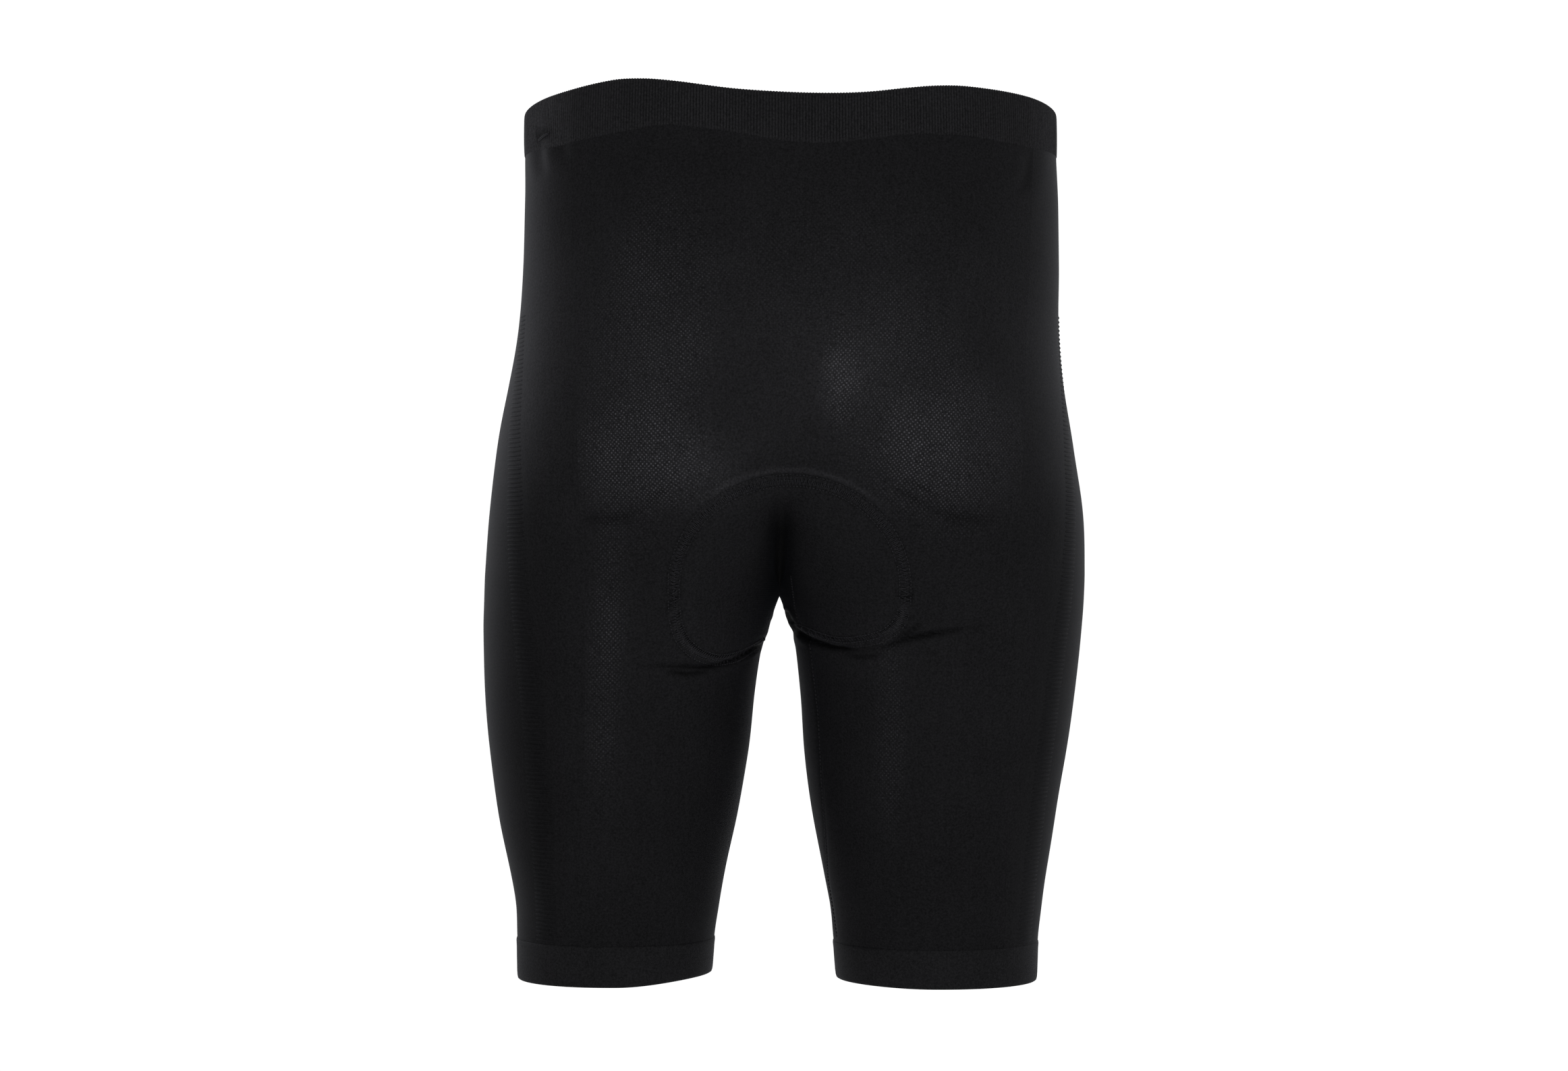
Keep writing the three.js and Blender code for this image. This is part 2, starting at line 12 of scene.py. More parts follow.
import bmesh
import bpy
import numpy as np
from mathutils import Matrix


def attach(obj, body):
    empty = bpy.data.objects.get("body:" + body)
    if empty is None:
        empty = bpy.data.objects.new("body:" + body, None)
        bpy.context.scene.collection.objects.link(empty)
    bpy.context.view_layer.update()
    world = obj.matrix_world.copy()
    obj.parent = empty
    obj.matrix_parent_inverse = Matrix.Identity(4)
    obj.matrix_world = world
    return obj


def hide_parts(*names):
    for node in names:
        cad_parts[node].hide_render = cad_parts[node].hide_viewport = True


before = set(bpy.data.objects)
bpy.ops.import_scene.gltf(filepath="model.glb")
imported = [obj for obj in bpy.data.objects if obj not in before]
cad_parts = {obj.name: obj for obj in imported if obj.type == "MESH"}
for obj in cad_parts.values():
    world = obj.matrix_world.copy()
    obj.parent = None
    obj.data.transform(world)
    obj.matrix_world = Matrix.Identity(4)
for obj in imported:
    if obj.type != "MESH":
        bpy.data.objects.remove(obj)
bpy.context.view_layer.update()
MM = 0.001
TURN = 2 * math.pi
LEFT = -1
RIGHT = 1

# %% [markdown]
# ## Camera
# The photograph looks at the back from 2.5 m, level with the middle of the garment. A camera could
# be placed by eye. This one's lens is worked out from the size of a pixel, 0.39 mm at the waist's
# middle, so that the picture and the sizes share one scale.

# %% Camera
camera_data = bpy.data.cameras.new("camera")
camera_data.sensor_width = 36
camera_data.lens = 99.29
camera = bpy.data.objects.new("camera", camera_data)
camera.location = (0, -2.5, -0.255)
camera.rotation_euler = (math.radians(90), 0, 0)
bpy.context.scene.collection.objects.link(camera)
bpy.context.scene.camera = camera

# %% [markdown]
# ## Sizes
# A maker works from a size chart. Here each table has named columns and is read smoothly between
# its rows, so a few heights give the whole outline and one size can be changed at a time.
# `section` holds the horizontal sections, `side_zone` the smooth side zones, `waist_edge` the band.

# %% Tables
def table(names, rows):
    """Reads a table of named columns smoothly between its rows. The first column is the key."""
    rows = np.array(sorted(rows), float)
    keys = rows[:, 0]
    at_row = np.arange(len(keys))
    before = np.maximum(at_row - 1, 0)
    after = np.minimum(at_row + 1, len(keys) - 1)
    slopes = (rows[after] - rows[before]) / (keys[after] - keys[before])[:, None]

    def read(name, key):
        c = names.index(name)
        at = np.clip(key, keys[0], keys[-1])
        i = np.clip(np.searchsorted(keys, at) - 1, 0, len(keys) - 2)
        gap = keys[i + 1] - keys[i]
        t = (at - keys[i]) / gap
        start, end = rows[i, c], rows[i + 1, c]
        bend_start, bend_end = slopes[i, c] * gap, slopes[i + 1, c] * gap
        a = 2 * start - 2 * end + bend_start + bend_end
        b = 3 * (end - start) - 2 * bend_start - bend_end
        return ((a * t + b) * t + bend_start) * t + start

    return read


section = table(["z", "left", "right", "middle", "reach", "back", "front", "fullness", "blend"], [
    [10, -149.3, 156.7, 3.7, 1, -105, 101, 2.2, 0.3],
    [-36, -149.3, 156.9, 3.6, 1, -108, 104, 2.2, 0.3],
    [-64, -149.4, 158.3, 3.5, 0.99, -111, 105, 2.22, 0.28],
    [-100, -150.2, 158.3, 3.2, 0.95, -117, 107, 2.25, 0.24],
    [-135, -152.5, 158, 2.6, 0.84, -124, 108, 2.3, 0.18],
    [-170, -158, 160.3, 1.6, 0.62, -131, 108, 2.34, 0.11],
    [-205, -164.4, 165.9, 0.3, 0.41, -135, 107, 2.36, 0.06],
    [-240, -168.3, 171, -1.2, 0.19, -131, 104, 2.34, 0.03],
    [-275, -171.4, 172.7, -2.4, 0.035, -119, 101, 2.3, 0.01],
    [-292, -172.2, 172.4, -2.7, -0.016, -112, 99, 2.28, 0.006],
    [-310, -172.8, 170.9, -3, -0.047, -106, 97, 2.25, 0.005],
    [-345, -172, 167.3, -3.9, -0.076, -99, 93, 2.2, 0.005],
    [-380, -169.3, 162.6, -4.5, -0.098, -91, 88, 2.18, 0.005],
    [-415, -164.6, 156.4, -5.4, -0.134, -83, 81, 2.15, 0.005],
    [-450, -157.6, 151.3, -6.1, -0.186, -74, 74, 2.12, 0.005],
    [-468, -154.8, 149, -6.3, -0.211, -70, 70, 2.12, 0.005],
    [-486, -154, 146.7, -6.6, -0.228, -66, 66, 2.1, 0.005],
    [-515, -153.2, 145.3, -6.5, -0.247, -63, 63, 2.1, 0.005],
])
side_zone = table(["z", "left", "right", "strip"], [
    [0, -121.5, 142.8, 62],
    [-74, -118.8, 139.5, 58],
    [-148, -116, 135.3, 52],
    [-250, -112.4, 130.5, 39],
    [-335, -110.7, 127, 26],
    [-410, -113.5, 125.4, 17],
    [-490, -119, 125, 9],
])
waist_edge = table(["angle", "top", "bottom"], [
    [-180, -17, -44],
    [-130, -16, -42],
    [-90, -13.5, -37.5],
    [-67, -6.2, -36],
    [-50, -0.6, -31],
    [-42, -0.5, -28.5],
    [-35, -2, -27],
    [-18, -6.8, -31.5],
    [0, -9.1, -37],
    [14, -9.5, -37.5],
    [24, -8.6, -35],
    [34, -6.2, -32.5],
    [42, -4.5, -32],
    [50, -4.2, -32.5],
    [67, -7, -36],
    [90, -13.5, -38],
    [130, -16, -42],
    [180, -17, -44],
])

# %% Named sizes
CLOTH = 1.2
BAND_SEAM = -36
HEM_SEAM = -487.5
WAVE_FADE = 70
SEAM_GAP = 0.04
TUCK = 1.6
HEMS = {
    LEFT: dict(seam=-486.5, bottom=-510, drawn_up=3.6),
    RIGHT: dict(seam=-488.5, bottom=-511, drawn_up=1.2),
}
# The pad's outline: a round arch above its widest row, a fuller curve below it that hangs lower
# on the wearer's left
PAD = dict(x=3, z=-284, back_half=67, front_half=43, above=62.5, below=41, hang=6, hang_over=40)
ARCH_CORNER = 2
LOW_CORNER = 3.5
# The sewing rises between the legs
NOTCH_HEIGHT = 14
NOTCH_HALF = 22
PAD_SWELL = 1.8
PAD_SWELL_FROM = 0.76
print("cloth", CLOTH, "mm, pad", PAD["back_half"] * 2, "mm wide")

# %% [markdown]
# ## The cloth's outer face
# The knit is one smooth skin over hips and thighs. It could be sculpted, but a formula keeps its two
# faces and its seams exact. Every section is two halves on one scale: 0 at the centre line, 1 at the
# side. A ray from a point inside a half meets the cloth where `field` is zero.

# %% Sections
HUB_SHARE = 0.45


def ease(value, low, high):
    t = np.clip((value - low) / (high - low), 0, 1)
    return t * t * (3 - 2 * t)


def bell(value, half):
    """1 at 0, falling away smoothly on either side."""
    return np.exp(-((value / half) ** 2))


def form(z):
    """The section's sizes at some heights."""
    f = {name: section(name, z) for name in ("left", "right", "middle", "fullness", "blend")}
    reach, back, front = (section(name, z) for name in ("reach", "back", "front"))
    f["centre"] = (1 - reach) / 2
    f["span"] = (1 + reach) / 2
    f["hub"] = np.maximum(f["centre"], HUB_SHARE)
    f["mid_y"] = (back + front) / 2
    f["depth"] = (front - back) / 2
    return f


def half_width(side, f):
    return np.where(np.asarray(side) > 0, f["right"] - f["middle"], f["middle"] - f["left"])


def across(side, x, f):
    """Distance from the centre line as a share, with its corner rounded so that both halves meet."""
    share = np.abs((x - f["middle"]) / half_width(side, f))
    return np.where(share >= 2 * f["blend"], share, share**2 / (4 * f["blend"]) + f["blend"])


def field(side, x, y, f):
    """Below 0 inside the section, above 0 outside it."""
    u = np.abs((across(side, x, f) - f["centre"]) / f["span"])
    v = np.abs((y - f["mid_y"]) / f["depth"])
    return u ** f["fullness"] + v ** f["fullness"] - 1


def normal_at(side, x, y, z):
    d = 0.2
    f = form(z)
    n = np.stack(
        [
            field(side, x + d, y, f) - field(side, x - d, y, f),
            field(side, x, y + d, f) - field(side, x, y - d, f),
            field(side, x, y, form(z + d)) - field(side, x, y, form(z - d)),
        ],
        -1,
    )
    return n / np.linalg.norm(n, axis=-1, keepdims=True)


def ray(side, z, angle):
    """Where a ray from inside a half meets the cloth. Angle 0 points to the centre line, 90 back."""
    f = form(z)
    hub = f["hub"] * half_width(side, f)
    inward, backward = np.cos(angle), np.sin(angle)
    reach = 400.0
    far = np.where(inward > 1e-9, np.minimum(reach, hub / np.maximum(inward, 1e-9)), reach)

    def spot(r):
        return f["middle"] + side * (hub - inward * r), f["mid_y"] - backward * r

    outside = field(side, *spot(far), f) > 0
    near, beyond = np.zeros_like(far), far.copy()
    for _ in range(30):
        mid = (near + beyond) / 2
        inside = field(side, *spot(mid), f) < 0
        near, beyond = np.where(inside, mid, near), np.where(inside, beyond, mid)
    return spot(np.where(outside, beyond, far))


def first_angle(side, z):
    """The angle at which a half's section leaves the centre line. It is 0 below the crotch."""
    f = form(z)
    crossing = np.minimum(np.abs((f["blend"] - f["centre"]) / f["span"]), 1)
    rise = f["depth"] * (1 - crossing ** f["fullness"]) ** (1 / f["fullness"])
    joined = f["blend"] > f["centre"] - f["span"]
    return np.where(joined, np.arctan2(rise, f["hub"] * half_width(side, f)), 0)


def find_crotch():
    low, high = -310.0, -275.0
    for _ in range(50):
        mid = (low + high) / 2
        f = form(np.array(mid))
        if f["blend"] > f["centre"] - f["span"]:
            high = mid
        else:
            low = mid
    return high


CROTCH = find_crotch()
print("crotch at", round(CROTCH, 2))

# %% [markdown]
# ## Rows
# Rows run from the band to the hems. They lie close together where the pad's sewing shows, and closer
# still at the crotch, where the legs part. An even grid as fine as that would be too heavy.

# %% Rows
FINE_TOP = -205
FINE_BOTTOM = -345
FINE_STEP = 1.2
ROW_STEP = 2.3
CROTCH_STEP = 0.1
CROTCH_ROWS = 6


def steps(start, end, size):
    count = round(abs(end - start) / size)
    return [start + (end - start) * (i + 1) / count for i in range(count)]


def row_levels():
    crowd = [CROTCH + CROTCH_STEP * k * k for k in range(1, CROTCH_ROWS + 1)]
    above = crowd + steps(crowd[-1], FINE_TOP, FINE_STEP) + steps(FINE_TOP, BAND_SEAM, ROW_STEP)
    below = steps(CROTCH, FINE_BOTTOM, FINE_STEP) + steps(FINE_BOTTOM, HEM_SEAM, ROW_STEP)
    return np.array(above[::-1] + [CROTCH] + below)


LEVELS = row_levels()
CROTCH_ROW = int(np.argmin(np.abs(LEVELS - CROTCH)))
print(len(LEVELS), "rows, crotch in row", CROTCH_ROW)


class Rings:
    """One half's sections at several heights: distance along the cloth from the centre back."""

    def __init__(self, side, z, rays=180):
        self.z = np.asarray(z, float)
        first = first_angle(side, self.z)[:, None]
        self.angles = first + (TURN - 2 * first) * np.linspace(0, 1, rays + 1)
        x, y = ray(side, self.z[:, None], self.angles)
        gaps = np.hypot(np.diff(x, axis=1), np.diff(y, axis=1))
        self.lengths = np.hstack([np.zeros((len(self.z), 1)), np.cumsum(gaps, axis=1)])
        self.length = self.lengths[:, -1]
        edge = side_zone("left" if side < 0 else "right", self.z)
        beyond = (x - edge[:, None]) * side >= 0
        self.start = self._cut(x, edge, np.argmax(beyond, axis=1) - 1, 1)
        self.end = self._cut(x, edge, rays - np.argmax(beyond[:, ::-1], axis=1) + 1, -1)
        self.rib_start = self.start + side_zone("strip", self.z)

    def _cut(self, x, edge, i, step):
        row = np.arange(len(self.z))
        i = np.clip(i, 0, x.shape[1] - 1)
        j = np.clip(i + step, 0, x.shape[1] - 1)
        share = (edge - x[row, i]) / (x[row, j] - x[row, i])
        return self.lengths[row, i] + (self.lengths[row, j] - self.lengths[row, i]) * share

    def angle(self, s):
        return np.array([np.interp(a, b, c) for a, b, c in zip(s, self.lengths, self.angles)])


rings = {side: Rings(side, LEVELS) for side in (LEFT, RIGHT)}

# %% [markdown]
# ## Relief
# The pad pushes the seat out, seams draw it in, and each crease is a soft trough with a puff beside
# it. A simulation would put creases where it likes, so these are listed one by one, each in its own
# size, as seen from behind. The front has similar ones.

# %% Creases
# Points of each trough seen from behind, its depth, half width, and the ends that fade out
TROUGHS = [
    ([(-84, -327), (-42, -328.5), (-15, -318.5)], 1.9, 4.2, "start"),
    ([(5, -306.5), (12, -313.5), (25, -317), (40, -318.5), (55, -316.5)], 1.8, 4.4, "end"),
    ([(55, -316.5), (68, -312), (115, -304)], 1.7, 4, "both"),
]
# Sharp cores and small folds that only show close up
FINE_BACK = [
    ([(-92, -326.5), (-62, -327.8), (-42, -328.8), (-30, -325.5), (-14, -318)], 1.5, 1.3, "start"),
    ([(-68, -330.5), (-54, -332), (-38, -331)], 1.3, 1.4, "both"),
    ([(3, -299), (6, -308), (12, -313.5), (25, -317.3), (40, -319), (58, -317)], 1.5, 1.3, "end"),
    ([(40, -319.3), (56, -317), (68, -312.3), (92, -308), (122, -303)], 1.7, 1.4, "both"),
    ([(30, -321.5), (44, -322.8), (60, -320)], 0.8, 1.3, "both"),
    ([(62, -312), (70, -308), (78, -301)], 0.9, 1.4, "both"),
    ([(-139, -31), (-138.5, -43), (-135, -54)], 1.0, 2.4, "end"),
    ([(-127, -30), (-124, -40), (-118, -48)], 0.8, 2.6, "end"),
    ([(140, -40), (137, -56), (131, -66)], 0.5, 3.5, "end"),
    ([(-70, -240), (-96, -246), (-118, -247)], 0.5, 5, "both"),
    ([(74, -238), (98, -246), (122, -244)], 0.45, 5, "both"),
    ([(58, -228), (70, -234), (82, -243)], 0.45, 2.2, "both"),
    ([(63, -222), (76, -229), (90, -236)], 0.35, 2, "both"),
    ([(-58, -226), (-70, -233), (-80, -243)], 0.4, 2.4, "both"),
]
FINE_FRONT = [
    ([(-12, -309), (-30, -318), (-58, -321), (-84, -315)], 1.6, 3.5, "end"),
    ([(9, -307), (26, -317), (49, -321), (70, -317), (92, -308)], 1.7, 3.5, "end"),
    ([(-24, -262), (-52, -246), (-86, -226), (-112, -214)], 1.1, 6, "both"),
    ([(20, -264), (50, -250), (90, -231), (118, -222)], 1.2, 6, "both"),
    ([(-96, -50), (-92, -62), (-84, -74)], 0.7, 4, "end"),
    ([(104, -49), (101, -62), (96, -70)], 0.6, 4, "end"),
]
PUFF = 0.45
PUFF_AWAY = 2.4
FADE_SHARE = 0.4
INSEAM = [(5.2, -277), (8.6, -300), (14.8, -321), (19, -358), (23, -420), (25, -452), (30, -485)]


def near_path(path, x, z):
    """Distance from points to a path in the back view, and how far along the path each one is."""
    best, along = np.full(np.shape(x), 1e9), np.zeros(np.shape(x))
    for i, ((ax, az), (bx, bz)) in enumerate(zip(path, path[1:])):
        length2 = (bx - ax) ** 2 + (bz - az) ** 2
        t = np.clip(((x - ax) * (bx - ax) + (z - az) * (bz - az)) / length2, 0, 1)
        away = np.hypot(x - ax - (bx - ax) * t, z - az - (bz - az) * t)
        along = np.where(away < best, (i + t) / (len(path) - 1), along)
        best = np.minimum(best, away)
    return best, along


def faded(along, fades):
    """1 along a path, and falling to 0 at the ends that fade out."""
    strength = np.ones(np.shape(along))
    if fades in ("start", "both"):
        strength = strength * ease(along, 0, FADE_SHARE)
    if fades in ("end", "both"):
        strength = strength * ease(1 - along, 0, FADE_SHARE)
    return strength


def folds(creases, x, z, puff):
    """Troughs along paths, each with a low puff on either side."""
    total = np.zeros(np.shape(x))
    for path, depth, half, fades in creases:
        away, along = near_path(path, x, z)
        shape = bell(away, half) - puff * bell(away - PUFF_AWAY * half, half)
        total -= depth * faded(along, fades) * shape
    return total


# %% Relief
# Half the depth over which the pad narrows from its back width to its front width
PAD_TURN = 25


def pad_depth(x, notch=NOTCH_HEIGHT):
    """How far the pad reaches below its widest row: further on the wearer's left."""
    lobes = PAD["below"] - PAD["hang"] * np.clip((x - PAD["x"]) / PAD["hang_over"], -1, 1)
    return lobes - notch * bell(x - PAD["x"], NOTCH_HALF)


def pad_measure(x, y, z, notch=NOTCH_HEIGHT):
    """How far the pad's outline lies from a point: 0 in its middle, 1 on the outline."""
    backness = ease(form(z)["mid_y"] - y, -PAD_TURN, PAD_TURN)
    half = PAD["front_half"] + (PAD["back_half"] - PAD["front_half"]) * backness
    side_share = np.abs(x - PAD["x"]) / half
    is_arch = z > PAD["z"]
    up_share = np.abs(z - PAD["z"]) / np.where(is_arch, PAD["above"], pad_depth(x, notch))
    corner = np.where(is_arch, ARCH_CORNER, LOW_CORNER)
    return (side_share**corner + up_share**corner) ** (1 / corner)


def off_pad(x, y, z):
    """Distance in millimetres from a point outwards to the pad's outline, below 0 inside it."""
    measure = np.maximum(pad_measure(x, y, z), 0.05)
    return np.hypot(x - PAD["x"], z - PAD["z"]) * (1 - 1 / measure)


PAD_ROWS = (0, -3, -6)
# What the sewing does to the cloth: heights, half widths and places off the pad's outline
SEWING = dict(groove=0.75, groove_half=0.8, band=0.9, band_half=3.2, band_off=-3)
RIDGE = dict(height=1.3, half=2.2, off=2.6)
PUCKERS = dict(height=0.2, half=5, round=41)
INSEAM_GROOVE = dict(depth=0.5, half=0.9, top=-296)
VALLEY_DEPTH = 3.2
VALLEY_HALF = 4.5


def valley(x, z):
    """The deeper fold down the seat's centre line, above the crotch."""
    window = ease(-z, 222, 248) * (1 - ease(-z, 270, 285))
    return -VALLEY_DEPTH * window * bell(x - form(z)["middle"], VALLEY_HALF)


def relief(x, y, z):
    """How far the cloth stands off its plain section."""
    measure = pad_measure(x, y, z)
    off = off_pad(x, y, z)
    swell = PAD_SWELL * (1 - ease(measure, PAD_SWELL_FROM, 1.02))
    is_back = ease(form(z)["mid_y"] - y, 0, 15)
    is_front = 1 - ease(form(z)["mid_y"] - y, -15, 0)
    grooves = sum(bell(off - row, SEWING["groove_half"]) for row in PAD_ROWS)
    bulge = bell(off - SEWING["band_off"], SEWING["band_half"])
    turn = np.arctan2(z - PAD["z"], x - PAD["x"])
    waves = np.sin(turn * PUCKERS["round"] + 3 * np.sin(turn * 5))
    puckers = PUCKERS["height"] * waves * bell(off, PUCKERS["half"])
    arch = ease(np.sin(turn), 0.35, 0.9)
    ridge = RIDGE["height"] * arch * bell(off - RIDGE["off"], RIDGE["half"])
    sewn = SEWING["band"] * bulge - SEWING["groove"] * grooves + puckers + ridge
    seam = INSEAM_GROOVE["depth"] * bell(near_path(INSEAM, x, z)[0], INSEAM_GROOVE["half"])
    seam = seam * (z < INSEAM_GROOVE["top"])
    # Slow waves, so that no stretch of cloth is quite even
    uneven = (
        0.22 * np.sin(x / 17 + 1.3 * np.sin(z / 31)) * np.sin(z / 23 + 0.8)
        + 0.16 * np.sin(x / 9 + z / 14 + 2.1) * np.sin(z / 37 - x / 29)
    )
    calm = ease(-z, 40, 60) * (1 - ease(-z, 465, 485))
    back_part = folds(FINE_BACK, x, z, PUFF) + folds(TROUGHS, x, z, 0) - seam + sewn + valley(x, z)
    return swell + is_back * back_part + is_front * folds(FINE_FRONT, x, z, PUFF) + uneven * calm


# %% Marks
def angle_round(x, y, f):
    """Degrees round the body: 0 is the centre back, -90 the wearer's left."""
    return np.degrees(np.arctan2(x - f["middle"], f["mid_y"] - y))


def mark(side, z, angle):
    """Points of the cloth's outer face and their normals."""
    z, angle = np.broadcast_arrays(z, angle)
    x, y = ray(side, z, angle)
    normal = normal_at(side, x, y, z)
    return np.stack([x, y, z], -1) + normal * relief(x, y, z)[..., None], normal


def on_back(x, z, lift):
    """Points of the back at places seen from behind."""
    x, z = np.asarray(x, float), np.asarray(z, float)
    f = form(z)
    side = np.where(x > f["middle"], RIGHT, LEFT)
    u = np.clip(np.abs((across(side, x, f) - f["centre"]) / f["span"]), 0, 0.9999)
    y = f["mid_y"] - f["depth"] * (1 - u ** f["fullness"]) ** (1 / f["fullness"])
    return np.stack([x, y, z], -1) + normal_at(side, x, y, z) * (relief(x, y, z) + lift)[..., None]


def wavy(side, levels, angle):
    """Heights of rows at some angles: the waist's waves and the hems' slant fade into the cloth."""
    at_waist = np.clip(1 - (BAND_SEAM - levels) / WAVE_FADE, 0, 1)
    at_hem = np.clip(1 - (levels - HEM_SEAM) / WAVE_FADE, 0, 1)
    x, y = ray(side, levels, angle)
    bottom = waist_edge("bottom", angle_round(x, y, form(levels)))
    return levels + (bottom - BAND_SEAM) * at_waist + (HEMS[side]["seam"] - HEM_SEAM) * at_hem


def moved_angle(side, angle, start_z, end_z):
    """The same place along the section after a row has moved up or down."""
    first, then = first_angle(side, start_z), first_angle(side, end_z)
    return then + (angle - first) * (TURN - 2 * then) / (TURN - 2 * first)


# %% [markdown]
# ## Meshes from grids
# Cloth has two faces and cut edges. A modifier could thicken one face, but its rims would cross at the
# crotch. So a shell is an outer and an inner grid with rims between them, all in one mesh.

# %% Shells
def report(obj):
    print(obj.name, sum(len(p.vertices) - 2 for p in obj.data.polygons), "triangles")


class Shell:
    def __init__(self):
        self.points, self.uvs, self.faces, self.count = [], [], [], 0

    def add(self, points, u):
        """Adds a grid of points with its distance along the cloth, and gives its indices."""
        flat = points.reshape(-1, 3)
        index = np.arange(len(flat)).reshape(points.shape[:2]) + self.count
        self.count += len(flat)
        self.points.append(flat)
        self.uvs.append(np.stack([np.broadcast_to(u, points.shape[:2]), points[..., 2]], -1).reshape(-1, 2))
        return index

    def quads(self, a, b, c, d, flip):
        corners = np.stack([a, b, c, d], -1).reshape(-1, 4)
        self.faces.append(corners[:, ::-1] if flip else corners)

    def sheet(self, index, flip):
        self.quads(index[:-1, :-1], index[1:, :-1], index[1:, 1:], index[:-1, 1:], flip)

    def wall(self, outer, inner, u, flip, first_open=0, last_open=0):
        """Two grids with rims. The first and last columns have theirs from the rows named here."""
        o, i = self.add(outer, u), self.add(inner, u)
        f, g = first_open, last_open
        self.sheet(o, flip)
        self.sheet(i, not flip)
        self.quads(o[0, :-1], o[0, 1:], i[0, 1:], i[0, :-1], flip)
        self.quads(o[-1, 1:], o[-1, :-1], i[-1, :-1], i[-1, 1:], flip)
        self.quads(o[f + 1 :, 0], o[f:-1, 0], i[f:-1, 0], i[f + 1 :, 0], flip)
        self.quads(o[g:-1, -1], o[g + 1 :, -1], i[g + 1 :, -1], i[g:-1, -1], flip)

    def tube(self, loops, u, flip):
        """A closed ring of closed profiles. Profiles run along the second axis."""
        index = self.add(loops, u)
        around = np.vstack([index, index[:1]])
        around = np.hstack([around, around[:, :1]])
        self.sheet(around, flip)

    def mesh(self, name, sharp=50, merge=0.02):
        data = bpy.data.meshes.new(name)
        points = np.vstack(self.points) * MM
        faces = np.vstack(self.faces)
        data.from_pydata(points.tolist(), [], faces.tolist())
        uv = np.vstack(self.uvs) * MM
        layer = data.uv_layers.new(name="cloth")
        corners = np.zeros(len(data.loops), int)
        data.loops.foreach_get("vertex_index", corners)
        layer.data.foreach_set("uv", uv[corners].astype(np.float32).ravel())
        work = bmesh.new()
        work.from_mesh(data)
        if merge:
            bmesh.ops.remove_doubles(work, verts=work.verts, dist=merge * MM)
            bmesh.ops.dissolve_degenerate(work, edges=work.edges, dist=1e-7)
        work.to_mesh(data)
        work.free()
        data.shade_smooth()
        data.set_sharp_from_angle(angle=math.radians(sharp))
        made = bpy.data.objects.new(name, data)
        bpy.context.scene.collection.objects.link(made)
        report(made)
        return made


# %% [markdown]
# ## Cloth
# The tube is knitted in zones: back, front and a smooth zone on each side. Each zone is a panel that
# ends a hair from its neighbour, as the solids do. Columns crowd toward the centre lines, where the
# form turns fastest, and the inner face follows the outer one at the cloth's thickness.

# %% Panels
BACK_COLUMNS = 84
FRONT_COLUMNS = 56
SIDE_COLUMNS = 40
CROWD = 1.25


def panel(side, s):
    """Outer and inner grids of a panel, from distances along each row's section."""
    ring = rings[side]
    levels = np.repeat(LEVELS[:, None], s.shape[1], 1)
    angle = ring.angle(s)
    z = wavy(side, levels, angle)
    z[0] += TUCK
    z[-1] -= TUCK
    angle = moved_angle(side, angle, levels, z)
    points, normals = mark(side, z, angle)
    return points, points - normals * CLOTH, s - ring.start[:, None]


def set_crotch(outer, inner, column, towards):
    """Puts the centre line's crotch point where both halves meet, facing down."""
    f = form(np.array(CROTCH))
    x, y = float(f["middle"]), float(f["mid_y"]) + towards * SEAM_GAP / 2
    low = CROTCH - float(relief(np.array(x), np.array(y), np.array(CROTCH)))
    outer[CROTCH_ROW, column] = (x, y, low)
    inner[CROTCH_ROW, column] = (x, y, low + CLOTH)


def back_cloth():
    shell = Shell()
    share = np.linspace(0, 1, BACK_COLUMNS + 1) ** CROWD
    for side in (LEFT, RIGHT):
        ring = rings[side]
        first = np.where(LEVELS < CROTCH, SEAM_GAP / 2, 0)[:, None]
        s = first + (ring.start[:, None] - SEAM_GAP / 2 - first) * share
        outer, inner, u = panel(side, s)
        set_crotch(outer, inner, 0, -1)
        shell.wall(outer, inner, u, side < 0, CROTCH_ROW)
    return shell.mesh("back_cloth")


def front_cloth():
    shell = Shell()
    share = 1 - (1 - np.linspace(0, 1, FRONT_COLUMNS + 1)) ** CROWD
    for side in (LEFT, RIGHT):
        ring = rings[side]
        last = (ring.length - np.where(LEVELS < CROTCH, SEAM_GAP / 2, 0))[:, None]
        first = ring.end[:, None] + SEAM_GAP / 2
        s = first + (last - first) * share
        outer, inner, u = panel(side, s)
        set_crotch(outer, inner, -1, 1)
        shell.wall(outer, inner, u, side < 0, 0, CROTCH_ROW)
    return shell.mesh("front_cloth")


def side_cloth(side, name):
    shell = Shell()
    ring = rings[side]
    first, last = ring.start[:, None] + SEAM_GAP / 2, ring.end[:, None] - SEAM_GAP / 2
    s = first + (last - first) * np.linspace(0, 1, SIDE_COLUMNS + 1)
    outer, inner, u = panel(side, s)
    shell.wall(outer, inner, u, side < 0)
    return shell.mesh(name)


back = back_cloth()
front = front_cloth()
side_left = side_cloth(LEFT, "side_cloth_left")
side_right = side_cloth(RIGHT, "side_cloth_right")

# %% [markdown]
# ## Bands
# The waistband is a doubled rib with a rounded top, and the hems are plain turned bands. Each is a
# closed profile carried round the section. The ribs could be a bump, but they catch the light one by
# one close up, so they are real.

# %% Waistband
BAND_RIB_PITCH = 1.7
RIB_STEPS = 6
RIB_RISE = 0.5
